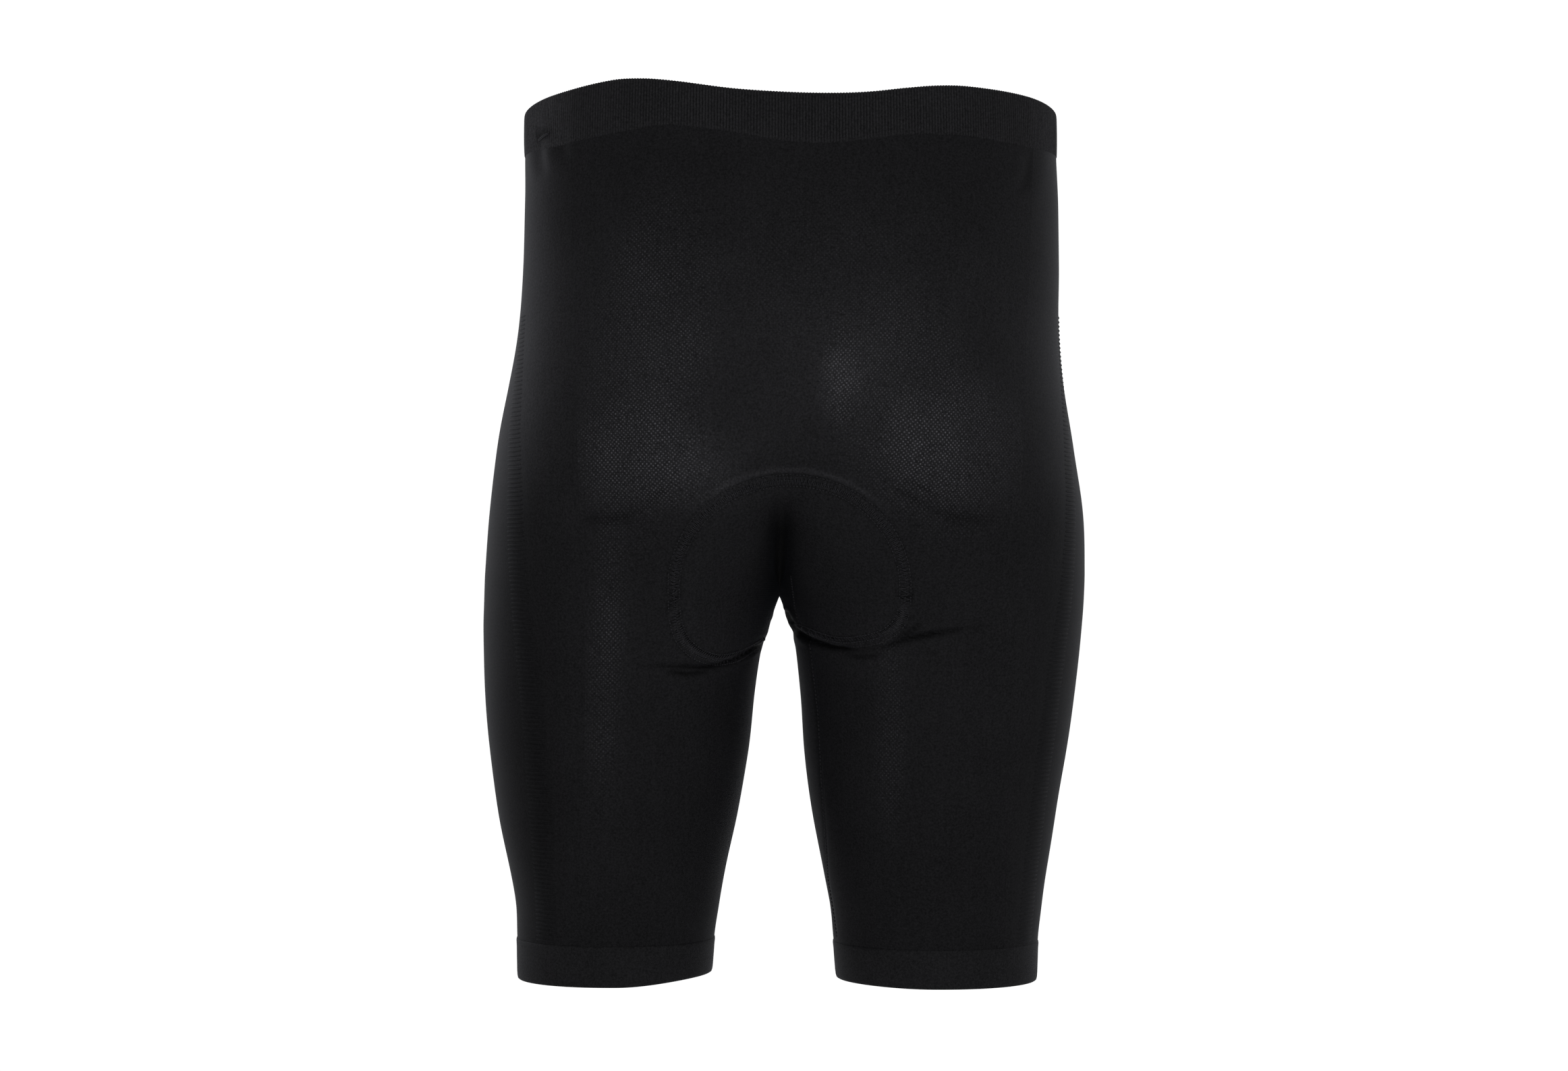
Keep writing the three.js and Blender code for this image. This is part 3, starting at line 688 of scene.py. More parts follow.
# Distance off the cloth, share of the band's height, share of the rib's rise
BAND_PROFILE = [
    (-0.55, 1.0, 0.7),
    (-0.05, 0.985, 1),
    (0.2, 0.95, 1),
    (0.32, 0.88, 1),
    (0.42, 0.7, 1),
    (0.46, 0.5, 1),
    (0.4, 0.3, 1),
    (0.25, 0.12, 1),
    (0.15, 0.03, 0.8),
    (-0.1, 0.0, 0.3),
    (-1.9, 0.0, 0),
    (-1.95, 0.1, -0.5),
    (-1.95, 0.5, -0.5),
    (-1.9, 0.9, -0.5),
    (-1.6, 0.96, -0.6),
    (-1.1, 0.995, 0.2),
]


def band_places():
    """Angles and sides of evenly spaced places all round the waist, from the centre back."""
    level = np.array([BAND_SEAM], float)
    halves = {side: Rings(side, level, 720) for side in (RIGHT, LEFT)}
    total = sum(float(half.length[0]) for half in halves.values())
    ribs = round(total / BAND_RIB_PITCH)
    count = ribs * RIB_STEPS
    s = np.arange(count) * total / count
    right_length = float(halves[RIGHT].length[0])
    on_right = s <= right_length
    right_angle = halves[RIGHT].angle(np.clip(s, 0, right_length)[None])[0]
    left_s = total - s
    left_angle = halves[LEFT].angle(np.clip(left_s, 0, float(halves[LEFT].length[0]))[None])[0]
    print(ribs, "ribs round", round(total), "mm")
    return s, on_right, right_angle, left_angle


def waistband_cloth():
    s, on_right, right_angle, left_angle = band_places()
    level = np.full(len(s), float(BAND_SEAM))
    wave = np.abs(np.sin(math.pi * np.arange(len(s)) / RIB_STEPS)) ** 0.8
    loops = np.zeros((len(s), len(BAND_PROFILE), 3))
    for side, angle, chosen in ((RIGHT, right_angle, on_right), (LEFT, left_angle, ~on_right)):
        x, y = ray(side, level, angle)
        around = angle_round(x, y, form(level))
        top, bottom = waist_edge("top", around), waist_edge("bottom", around)
        for k, (lift, share, ribbed) in enumerate(BAND_PROFILE):
            z = bottom + (top - bottom) * share
            points, normals = mark(side, z, moved_angle(side, angle, level, z))
            full = lift + RIB_RISE * ribbed * (wave - 0.5)
            points = points + normals * full[:, None]
            points[:, 2] += 0.25 * (wave - 0.5) * (share == 1)
            loops[chosen, k] = points[chosen]
    shell = Shell()
    shell.tube(loops, s[:, None], False)
    return shell.mesh("waistband_cloth", 80, 0), np.repeat(wave, len(BAND_PROFILE))


waistband, band_wave = waistband_cloth()

# %% Hems
HEM_STEPS = 300
# Distance off the cloth and share of the hem's height, from its seam down
HEM_PROFILE = [
    (-0.2, 0.0),
    (0.35, 0.01),
    (0.55, 0.06),
    (0.5, 0.2),
    (0.62, 0.5),
    (0.66, 0.8),
    (0.55, 0.92),
    (0.25, 0.98),
    (-0.35, 1.0),
    (-1.1, 0.985),
    (-1.7, 0.95),
    (-1.9, 0.85),
    (-1.9, 0.4),
    (-1.9, 0.0),
]


def hem_cloth(side, name):
    hem = HEMS[side]
    ring = Rings(side, [hem["bottom"]], 360)
    length = float(ring.length[0])
    s = np.arange(HEM_STEPS) * length / HEM_STEPS
    angle = ring.angle(s[None])[0]
    f = form(np.array(float(hem["bottom"])))
    x, _ = ray(side, np.full(HEM_STEPS, float(hem["bottom"])), angle)
    inner = 1 - ease(np.abs(x - f["middle"]) / half_width(side, f), 0.22, 0.6)
    loops = np.zeros((HEM_STEPS, len(HEM_PROFILE), 3))
    for k, (lift, share) in enumerate(HEM_PROFILE):
        z = hem["seam"] + (hem["bottom"] + hem["drawn_up"] * inner - hem["seam"]) * share
        points, normals = mark(side, z, angle)
        loops[:, k] = points + normals * lift
    shell = Shell()
    shell.tube(loops, s[:, None], side > 0)
    return shell.mesh(name, 80)


hem_left = hem_cloth(LEFT, "hem_cloth_left")
hem_right = hem_cloth(RIGHT, "hem_cloth_right")

# %% [markdown]
# ## Pad
# The chamois is foam between two layers of cloth, sewn inside. A simulated cushion needs a load to
# settle it, and here there is none, so it is modelled as it is held: just inside the cloth, thick in
# the middle and thin at its outline.

# %% Pad
PAD_CLEAR = 0.5
PAD_EDGE = 1.6
PAD_CROWN = 5.6
PAD_ACROSS = 44
# Two shallow channels run down the pad, one on either side of its middle
CHANNEL = dict(depth=0.9, off=21, half=2.2)


def pad_reach(side, z, is_back):
    """Distance along each section from the centre line to the pad's outline."""
    ring = Rings(side, z, 240)
    s = np.linspace(0, 110, 221)[None] + np.zeros((len(z), 1))
    along = s if is_back else ring.length[:, None] - s
    level = np.repeat(np.asarray(z, float)[:, None], s.shape[1], 1)
    x, y = ray(side, level, ring.angle(along))
    inside = pad_measure(x, y, level, 0) < 1
    return ring, s[0][np.argmin(inside, axis=1)]


def pad_cloth():
    shell = Shell()
    top = PAD["z"] + PAD["above"] - 1
    share = np.linspace(0, 1, PAD_ACROSS + 1)
    for side in (LEFT, RIGHT):
        bottom = PAD["z"] - PAD["below"] + side * PAD["hang"] + 3
        levels = LEVELS[(LEVELS < top - 4) & (LEVELS > bottom + 4)]
        z = np.concatenate([[top, top - 1, top - 2.5], levels, [bottom + 2.5, bottom]])
        crotch_row = int(np.argmin(np.abs(z - CROTCH)))
        for is_back in (True, False):
            ring, reach = pad_reach(side, z, is_back)
            s = reach[:, None] * share
            along = s if is_back else ring.length[:, None] - s
            level = np.repeat(z[:, None], s.shape[1], 1)
            points, normals = mark(side, level, ring.angle(along))
            plain = points - normals * relief(*np.moveaxis(points, -1, 0))[..., None]
            place = np.moveaxis(plain, -1, 0)
            measure = np.clip(pad_measure(*place, 0), 0, 1)
            swell = PAD_SWELL * (1 - ease(pad_measure(*place), PAD_SWELL_FROM, 1.02))
            thick = PAD_EDGE + PAD_CROWN * (1 - measure**2)
            off = np.abs(points[..., 0] - PAD["x"]) - CHANNEL["off"]
            thick = thick - CHANNEL["depth"] * bell(off, CHANNEL["half"]) * (1 - ease(measure, 0.7, 0.9))
            clear = CLOTH + PAD_CLEAR + 1.4 * ease(measure, 0.6, 0.9)
            folded = valley(points[..., 0], level) * (1 if is_back else 0)
            outer = plain + normals * (swell - clear + folded)[..., None]
            inner = outer - normals * thick[..., None]
            f = form(np.array(CROTCH))
            low = CROTCH - PAD_SWELL + clear[crotch_row, 0]
            outer[crotch_row, 0] = (float(f["middle"]), float(f["mid_y"]), low)
            inner[crotch_row, 0] = outer[crotch_row, 0] + (0, 0, thick[crotch_row, 0])
            shell.wall(outer, inner, s, (side < 0) == is_back, len(z) - 1)
    return shell.mesh("pad_chamois", 60, 0.05)


pad = pad_cloth()

# %% [markdown]
# ## Ribs and sewing
# Knitted ribs and stitches repeat by the hundred. Copies placed one by one would be slow to change,
# so lines on the cloth become raised ribs or rows of stitches with two small node trees.

# %% Node trees
def add_node(tree, kind, values=None, **settings):
    """A new node with its settings and the values of its inputs."""
    node = tree.nodes.new(kind)
    for name, value in settings.items():
        setattr(node, name, value)
    for name, value in (values or {}).items():
        node.inputs[name].default_value = value
    return node


def wire(tree, *pairs):
    """Links outputs to inputs, given in pairs."""
    for source, target in pairs:
        tree.links.new(source, target)


def line_tree(name, inputs, build):
    """A tree in which `build` turns lines into shapes. They are realized, smoothed and painted."""
    group = bpy.data.node_groups.new(name, "GeometryNodeTree")
    for label, kind in [("Geometry", "Geometry"), *inputs, ("Material", "Material")]:
        group.interface.new_socket(name=label, in_out="INPUT", socket_type="NodeSocket" + kind)
    group.interface.new_socket(name="Geometry", in_out="OUTPUT", socket_type="NodeSocketGeometry")
    start = add_node(group, "NodeGroupInput").outputs
    end = add_node(group, "NodeGroupOutput")
    curve = add_node(group, "GeometryNodeMeshToCurve")
    realize = add_node(group, "GeometryNodeRealizeInstances")
    smooth = add_node(group, "GeometryNodeSetShadeSmooth")
    coat = add_node(group, "GeometryNodeSetMaterial")
    wire(
        group,
        (start["Geometry"], curve.inputs["Mesh"]),
        (build(group, start, curve.outputs[0]), realize.inputs[0]),
        (realize.outputs[0], smooth.inputs["Geometry"]),
        (smooth.outputs[0], coat.inputs["Geometry"]),
        (start["Material"], coat.inputs["Material"]),
        (coat.outputs[0], end.inputs[0]),
    )
    return group


def sweep_ribs(group, given, curve):
    """Round ribs along lines, as thick as the lines' own measure."""
    measure = add_node(group, "GeometryNodeInputNamedAttribute", {"Name": "thickness"}, data_type="FLOAT")
    ring = add_node(group, "GeometryNodeCurvePrimitiveCircle", {"Radius": 1})
    sweep = add_node(group, "GeometryNodeCurveToMesh", {"Fill Caps": True})
    wire(
        group,
        (measure.outputs["Attribute"], sweep.inputs["Scale"]),
        (given["Sides"], ring.inputs["Resolution"]),
        (curve, sweep.inputs["Curve"]),
        (ring.outputs[0], sweep.inputs["Profile Curve"]),
    )
    return sweep.outputs[0]


def place_stitches(group, given, curve):
    """A small rounded stitch at each pitch along lines."""
    spots = add_node(group, "GeometryNodeCurveToPoints", mode="LENGTH")
    bead = add_node(group, "GeometryNodeMeshUVSphere", {"Segments": 6, "Rings": 5, "Radius": 1})
    place = add_node(group, "GeometryNodeInstanceOnPoints")
    wire(
        group,
        (curve, spots.inputs["Curve"]),
        (given["Pitch"], spots.inputs["Length"]),
        (spots.outputs["Points"], place.inputs["Points"]),
        (bead.outputs["Mesh"], place.inputs["Instance"]),
        (spots.outputs["Rotation"], place.inputs["Rotation"]),
        (given["Size"], place.inputs["Scale"]),
    )
    return place.outputs[0]


def along_lines(name, lines, tree, values, thickness=None):
    """A plain mesh made by a node tree on lines given in millimetres."""
    points = np.vstack(lines) * MM
    edges, at = [], 0
    for line in lines:
        edges += [(at + i, at + i + 1) for i in range(len(line) - 1)]
        at += len(line)
    data = bpy.data.meshes.new(name + "_lines")
    data.from_pydata(points.tolist(), edges, [])
    if thickness is not None:
        measure = data.attributes.new("thickness", "FLOAT", "POINT")
        measure.data.foreach_set("value", (np.concatenate(thickness) * MM).astype(np.float32))
    carrier = bpy.data.objects.new(name + "_lines", data)
    bpy.context.scene.collection.objects.link(carrier)
    modifier = carrier.modifiers.new("nodes", "NODES")
    modifier.node_group = tree
    for item in tree.interface.items_tree:
        if item.in_out == "INPUT" and item.name in values:
            modifier[item.identifier] = values[item.name]
    graph = bpy.context.evaluated_depsgraph_get()
    made_data = bpy.data.meshes.new_from_object(carrier.evaluated_get(graph), depsgraph=graph)
    bpy.data.objects.remove(carrier)
    made_data.name = name
    made = bpy.data.objects.new(name, made_data)
    bpy.context.scene.collection.objects.link(made)
    report(made)
    return made


# %% [markdown]
# ## Materials
# Near-black knit with a faint violet tint. Sheen lights the rims, and noise keeps it uneven. The seat
# has two zones of small eyelets. Cut holes would need millions of faces, so they are staggered dots
# drawn along the cloth, as a bump and painted lighter as highlights on their bubbles.

# %% Materials
SHEEN_TINT = (0.72, 0.78, 1.0, 1)
STREAK_SCALE = (420, 28, 1)
STREAKS = 0.25
CLOUDS = 0.4
GRAIN = 1.8
# Pitches of the eyelets in millimetres, their lean, how far their rows wander, and their strength:
# shade for the dots' painted highlight, height for their bump
EYELET = dict(across=2.45, down=2.5, lean=0.08, wander=9, shade=9, height=4)


def knit(name, base, roughness, sheen, wale=0.9, course=1.1, relief_mm=0.05, lattice=False):
    """A knit: fine wales and courses as bumps, soft streaks along the cloth, uneven shade."""
    material = bpy.data.materials.new(name)
    material.use_nodes = True
    tree = material.node_tree
    shader = tree.nodes["Principled BSDF"].inputs
    shader["Roughness"].default_value = roughness
    shader["Specular IOR Level"].default_value = 0.03
    shader["Sheen Weight"].default_value = sheen
    shader["Sheen Roughness"].default_value = 0.35
    shader["Sheen Tint"].default_value = SHEEN_TINT

    def maths(operation, a, b=None):
        """A maths node with numbers or sockets as its inputs."""
        node = add_node(tree, "ShaderNodeMath", operation=operation)
        for socket, value in zip(node.inputs, (a, b)):
            if isinstance(value, (int, float)):
                socket.default_value = value
            elif value is not None:
                wire(tree, (value, socket))
        return node.outputs[0]

    def wave(kind, value, pitch):
        return maths(kind, maths("MULTIPLY", value, TURN / (pitch * MM)))

    def noise(scale, detail, place):
        node = add_node(tree, "ShaderNodeTexNoise", {"Scale": scale, "Detail": detail})
        wire(tree, (place, node.inputs["Vector"]))
        return node.outputs[0]

    coordinates = add_node(tree, "ShaderNodeTexCoord").outputs
    split = add_node(tree, "ShaderNodeSeparateXYZ")
    stretch = add_node(tree, "ShaderNodeMapping", {"Scale": STREAK_SCALE})
    wire(tree, (coordinates["UV"], split.inputs[0]), (coordinates["UV"], stretch.inputs[0]))
    u, v = split.outputs[0], split.outputs[1]
    wales = maths("MULTIPLY", wave("SINE", u, wale), 0.5)
    height = maths("ADD", wales, maths("MULTIPLY", wave("SINE", v, course), 0.35))
    cloud = noise(26, 4, coordinates["Object"])
    grain = noise(900, 2, coordinates["Object"])
    streaks = maths("MULTIPLY", noise(1, 3, stretch.outputs[0]), STREAKS)
    shade = maths("ADD", 1 - STREAKS / 2 - CLOUDS / 2, streaks)
    shade = maths("ADD", shade, maths("MULTIPLY", cloud, CLOUDS))
    shade = maths("ADD", shade, maths("MULTIPLY", maths("SUBTRACT", grain, 0.5), GRAIN))
    # Painted light and shade of each point, from its attribute
    painted_shading = add_node(tree, "ShaderNodeAttribute", attribute_name="painted_shading")
    shade = maths("MULTIPLY", shade, painted_shading.outputs["Fac"])
    if lattice:
        mask = add_node(tree, "ShaderNodeAttribute", attribute_name="eyelets")
        drift = maths("MULTIPLY", noise(14, 2, coordinates["UV"]), EYELET["wander"] * MM)
        lean = maths("MULTIPLY", u, EYELET["lean"])
        across_dots = wave("COSINE", maths("ADD", u, drift), EYELET["across"])
        down_dots = wave("COSINE", maths("ADD", maths("SUBTRACT", v, drift), lean), EYELET["down"])
        edge = {"From Min": 0.15, "From Max": 0.85}
        dots = add_node(tree, "ShaderNodeMapRange", edge, interpolation_type="SMOOTHSTEP")
        wire(tree, (maths("MULTIPLY", across_dots, down_dots), dots.inputs["Value"]))
        patchy = maths("MULTIPLY", maths("SUBTRACT", maths("MULTIPLY", grain, 4), 1.1), cloud)
        dot = maths("MULTIPLY", maths("MULTIPLY", dots.outputs[0], mask.outputs["Fac"]), patchy)
        # The dots are painted lighter, as highlights on the eyelets' bubbles
        shade = maths("ADD", shade, maths("MULTIPLY", dot, EYELET["shade"]))
        height = maths("ADD", height, maths("MULTIPLY", dot, EYELET["height"]))
    colour = add_node(tree, "ShaderNodeVectorMath", operation="SCALE")
    colour.inputs[0].default_value = base
    bump = add_node(tree, "ShaderNodeBump", {"Strength": 0.6, "Distance": relief_mm * MM})
    wire(
        tree,
        (shade, colour.inputs["Scale"]),
        (colour.outputs[0], shader["Base Color"]),
        (height, bump.inputs["Height"]),
        (bump.outputs[0], shader["Normal"]),
    )
    return material


BLACK = (0.0083, 0.0082, 0.009)
body_knit = knit("body_knit", BLACK, 0.7, 0.016, lattice=True)
side_knit = knit("side_knit", BLACK, 0.66, 0.016, wale=0.7, course=0.8, relief_mm=0.03)
rib_knit = knit("rib_knit", (0.0128, 0.0126, 0.0137), 0.68, 0.016, course=0.6)
hem_knit = knit("hem_knit", (0.0095, 0.0094, 0.0102), 0.68, 0.016, wale=0.8, course=0.7)
chamois = knit("chamois", (0.02, 0.02, 0.022), 0.8, 0.2, wale=1.4, course=1.4, relief_mm=0.12)
# The thread is painted lighter than the cloth, as light caught on the stitches' beads
thread = knit("thread", (0.018, 0.0177, 0.0195), 0.55, 0.03, wale=0.3, course=0.3)
print(len(bpy.data.materials), "materials")


# %% Zones
def soft_zone(x, z, cx, cz, rx, rz, tilt, fade):
    """1 inside a tilted oval seen from behind, fading out across its edge."""
    a = math.radians(tilt)
    dx, dz = x - cx, z - cz
    across_zone = (dx * math.cos(a) + dz * math.sin(a)) / rx
    down_zone = (dz * math.cos(a) - dx * math.sin(a)) / rz
    return 1 - ease(np.hypot(across_zone, down_zone), 1 - fade, 1 + fade)


# Eyelet zones: centre, half sizes, tilt in degrees, fade, strength of the dots' bump and painted highlight
EYELETS = [
    (-74, -160, 30, 82, -6, 0.5, 0.5),
    (-78, -210, 28, 24, 0, 0.7, 0.6),
    (-48, -222, 18, 16, 0, 0.8, 0.3),
    (74, -190, 38, 62, 24, 0.5, 0.4),
    (88, -206, 32, 30, 0, 0.7, 0.5),
    (31, -168, 9, 20, 0, 0.8, 0.8),
    (30, -110, 70, 40, 0, 0.8, 0.12),
    (-98, -316, 8, 64, -3, 0.8, 0.4),
    (59, -362, 7, 46, 0, 0.8, 0.3),
]
# Painted sheen highlights where the stretched cloth catches the light: centre, half sizes, tilt, fade,
# strength
PAINTED_SHEEN_PATCHES = [
    (31, -168, 9, 12, 0, 0.95, 0.45),
    (35, -165, 28, 34, 0, 0.95, 0.28),
    (0, -165, 60, 40, 0, 0.95, 0.1),
    (92, -206, 36, 28, 0, 0.9, 0.38),
    (-62, -213, 40, 22, 0, 0.9, 0.4),
    (-44, -220, 16, 14, 0, 0.95, 0.3),
    (-78, -150, 36, 60, 0, 0.9, 0.12),
    (-99, -345, 13, 78, -3, 0.95, 0.15),
    (59, -362, 8, 48, 0, 0.9, 0.14),
    (-30, -290, 26, 30, 0, 0.9, 0.12),
    (0, -318, 50, 16, 0, 0.9, 0.2),
]
# Painted light and shade from the waist to the hems, as the light falls: lightest over the seat, where it
# curves out, and on the sides lighter high up and darker down the legs
painted_light_down = table(["z", "back", "side"], [
    [0, 1.0, 1.05],
    [-50, 0.98, 1.05],
    [-85, 1.1, 1.15],
    [-120, 1.24, 1.35],
    [-160, 1.33, 1.45],
    [-200, 1.2, 1.25],
    [-240, 1.1, 0.92],
    [-275, 1.02, 0.8],
    [-310, 1.05, 0.76],
    [-360, 1.02, 0.7],
    [-415, 0.95, 0.66],
    [-490, 0.9, 0.64],
])


def zones(rows, x, z):
    return sum(strength * soft_zone(x, z, *zone) for *zone, strength in rows)


def paint(obj, painted_shading, eyelets=False):
    """Writes the painted light and shade of each point, and the eyelet zones."""
    co = np.zeros(len(obj.data.vertices) * 3)
    obj.data.vertices.foreach_get("co", co)
    x, y, z = co.reshape(-1, 3).T / MM
    layer = obj.data.attributes.new("painted_shading", "FLOAT", "POINT")
    layer.data.foreach_set("value", painted_shading(x, y, z).astype(np.float32))
    if eyelets:
        layer = obj.data.attributes.new("eyelets", "FLOAT", "POINT")
        layer.data.foreach_set("value", (zones(EYELETS, x, z) * (y < 0)).astype(np.float32))


# %% Painted light and shade
# Painted light high on the wearer's left side
LEFT_PAINTED_LIGHT = 0.45
# Painted light on both ends of the band, and painted shade between its ribs with painted light on their
# tops
BAND_LEFT_PAINTED_LIGHT = 0.9
BAND_RIGHT_PAINTED_LIGHT = 0.3
BAND_GROOVE_PAINTED_SHADE = 0.74
BAND_RIB_PAINTED_LIGHT = 1.08
# Painted shade in the bartack's pucker, the creases, the seat's centre fold and the pad's sewn grooves,
# and painted light on the pad's sewn band, the ridge above its arch and the inseam's strip: how much
# darker or lighter each is
PAINTED_LIGHT_AND_SHADE = dict(pucker=0.6, crease=0.72, fold=0.8, groove=0.5, band=0.15, ridge=0.7, inseam=0.4)


def plain_tone(x, y, z):
    return np.ones(len(x))


def side_tone(x, y, z):
    """Painted light and shade: as on the back at the side zone's edges, and its own column round the side,
    with painted light high on the left.
    """
    edge = side_zone("left", z) if x.mean() < 0 else side_zone("right", z)
    round_side = ease(np.abs(x) - np.abs(edge), 0, 30)
    lift = LEFT_PAINTED_LIGHT * (x < 0) * ease(-z, 30, 50) * (1 - ease(-z, 185, 250))
    return painted_light_down("back", z) * (1 - round_side) + (painted_light_down("side", z) + lift) * round_side


def band_tone(x, y, z):
    """Painted light and shade on the band: darker between its ribs, lighter on them and at both ends, and a
    painted shadow where the bartack pulls it in.
    """
    upper = near_path([(-140, -28.5), (-136.5, -27.3), (-131, -26)], x, z)[0]
    lower = near_path([(-139.5, -32), (-136, -30.8), (-130, -30.4)], x, z)[0]
    pucker = PAINTED_LIGHT_AND_SHADE["pucker"] * bell(np.minimum(upper, lower), 1.1) * (y < 0)
    painted_end_light = BAND_LEFT_PAINTED_LIGHT * ease(-x, 108, 144) + BAND_RIGHT_PAINTED_LIGHT * ease(x, 135, 152)
    return (BAND_GROOVE_PAINTED_SHADE + (BAND_RIB_PAINTED_LIGHT - BAND_GROOVE_PAINTED_SHADE) * band_wave + painted_end_light) * (1 - pucker)


# Painted light and shade by height, as on the back
def front_tone(x, y, z):
    return painted_light_down("back", z)


def crease_painted_shade(x, z):
    """Painted shade in the bottoms of the creases, seen from behind: how much darker each is."""
    total = np.zeros(np.shape(x))
    for path, depth, half, fades in FINE_BACK:
        away, along = near_path(path, x, z)
        total = np.maximum(total, min(depth, 1) * faded(along, fades) * bell(away, 0.8 * half))
    return total


def back_tone(x, y, z):
    """From behind: painted shade in the pad's grooves, seat fold and creases; painted light on its sewn
    band, ridge, inseam strip and sheen patches.
    """
    off = off_pad(x, y, z)
    # Painted light on the pad's swollen sewn band, and painted shade in its sewn grooves
    band = np.exp(-(((off + 3) / 3.4) ** 4))
    grooves = sum(bell(off - row, 0.7) for row in PAD_ROWS)
    # Painted highlight on the ridge above the pad's arch
    ridge = ease((z - PAD["z"]) / PAD["above"], 0.6, 0.95) * bell(off - 2.4, 1.6)
    # Painted shadow down the seat's centre fold, above the crotch
    fold = PAINTED_LIGHT_AND_SHADE["fold"] * ease(-z, 228, 255) * (y < 0) * bell(x - form(z)["middle"], 10)
    # Painted light on the inner leg beside the inseam, where shade falls between the legs
    inseam_x = np.interp(-z, [-point[1] for point in INSEAM], [point[0] for point in INSEAM])
    strip = ease(-z, 292, 305) * (1 - ease(x, inseam_x - 2, inseam_x)) * (x > -2)
    painted_light_marks = PAINTED_LIGHT_AND_SHADE["band"] * band - PAINTED_LIGHT_AND_SHADE["groove"] * grooves + PAINTED_LIGHT_AND_SHADE["ridge"] * ridge
    painted_light_marks = painted_light_marks + PAINTED_LIGHT_AND_SHADE["inseam"] * strip + zones(PAINTED_SHEEN_PATCHES, x, z)
    shade = painted_light_down("back", z) * (1 + painted_light_marks * (y < 0)) * (1 - fold)
    return shade * (1 - PAINTED_LIGHT_AND_SHADE["crease"] * crease_painted_shade(x, z) * (y < 0))


TONES = {
    back: back_tone,
    front: front_tone,
    side_left: side_tone,
    side_right: side_tone,
    waistband: band_tone,
}
for obj, material in (
    (back, body_knit),
    (front, body_knit),
    (side_left, side_knit),
    (side_right, side_knit),
    (waistband, rib_knit),
    (hem_left, hem_knit),
    (hem_right, hem_knit),
    (pad, chamois),
):
    obj.data.materials.append(material)
    paint(obj, TONES.get(obj, plain_tone), obj in (back, front))

# %% [markdown]
# ## Side ribs
# A column of horizontal ribs is knitted into each side zone from the hip to the hem. They stand proud
# at the silhouette, where a bump would show nothing, so each one is swept along its own line.

# %% Side ribs
RIB_TOP = -129
RIB_PITCH = 2.5
RIB_COUNT = 143
RIB_WIDTH = 20
RIB_THICK = 1.0
RIB_SUNK = 0.45


def side_ribs(side, name):
    z = RIB_TOP - RIB_PITCH * (np.arange(RIB_COUNT) + 0.5)
    ring = Rings(side, z)
    t = np.linspace(0, 1, 13)
    s = ring.rib_start[:, None] + RIB_WIDTH * t
    angle = ring.angle(s)
    level = np.repeat(z[:, None], len(t), 1)
    height = wavy(side, level, angle)
    points, normals = mark(side, height, moved_angle(side, angle, level, height))
    taper = 0.25 + 0.75 * np.sqrt(np.clip(4 * t * (1 - t), 0, 1))
    lines = list(points - normals * RIB_SUNK)
    values = {"Sides": 6, "Material": side_knit}
    made = along_lines(name, lines, ribs, values, [RIB_THICK * taper] * len(lines))
    paint(made, side_tone)
    return made


ribs = line_tree("ribs", [("Sides", "Int")], sweep_ribs)
stitches = line_tree("stitches", [("Pitch", "Float"), ("Size", "Vector")], place_stitches)
ribs_left = side_ribs(LEFT, "side_ribs_left")
ribs_right = side_ribs(RIGHT, "side_ribs_right")

# %% [markdown]
# ## Stitches
# Three rows and a cover thread hold the pad, one row follows the right inseam, and a bartack sits at
# the left of the band. Each stitch is a small bead, which is how thread looks at this size.

# %% Stitches
def split_lines(points, keep):
    """Cuts a line where it leaves the cloth."""
    cuts = np.flatnonzero(np.diff(keep.astype(int))) + 1
    runs = zip(np.split(points, cuts), np.split(keep, cuts))
    return [run for run, good in runs if good[0] and len(run) > 2]


def on_leg(x, z):
    """Whether a place seen from behind lies on the cloth, clear of its silhouettes."""
    f = form(z)
    share = np.abs(x - f["middle"]) / half_width(x - f["middle"], f)
    return (f["centre"] - share) / f["span"] < 0.985


def pad_outline(t, row):
    """Places on the pad's outline, or a row's distance inside it, at turns round its middle."""
    is_arch = np.sin(t) > 0
    power = 2 / np.where(is_arch, ARCH_CORNER, LOW_CORNER)
    x = PAD["x"] + np.sign(np.cos(t)) * np.abs(np.cos(t)) ** power * (PAD["back_half"] + row)
    height = np.where(is_arch, PAD["above"], pad_depth(x)) + row
    return x, PAD["z"] + np.sign(np.sin(t)) * np.abs(np.sin(t)) ** power * height


def pad_lines():
    lines = []
    for row in PAD_ROWS:
        x, z = pad_outline(np.linspace(0, TURN, 481), row)
        lines += split_lines(on_back(x, z, SEWN_LIFT), on_leg(x, z))
    return lines


def pad_zigzag():
    """The cover thread that runs to and fro between the pad's outer and inner rows."""
    count = 2 * round(TURN * PAD["above"] / ZIGZAG_PITCH)
    at = np.arange(count + 1)
    row = np.where(at % 2, PAD_ROWS[0], PAD_ROWS[-1])
    x, z = pad_outline(np.linspace(0, TURN, count + 1), row)
    # Two more points on each run keep it on the swollen band
    share = np.arange(0, count + 1e-6, 1 / 3)
    x, z = (np.interp(share, at, v) for v in (x, z))
    return split_lines(on_back(x, z, 0.1), on_leg(x, z))


def path_line(path, lift):
    """A smooth line on the cloth through places seen from behind."""
    xs, zs = np.array(path, float).T
    at = np.linspace(0, len(xs) - 1, 12 * len(xs))
    knots = np.arange(len(xs))
    return on_back(np.interp(at, knots, xs), np.interp(at, knots, zs), lift)


def sewn(pitch):
    return {"Pitch": pitch * MM, "Size": STITCH_SIZE, "Material": thread}


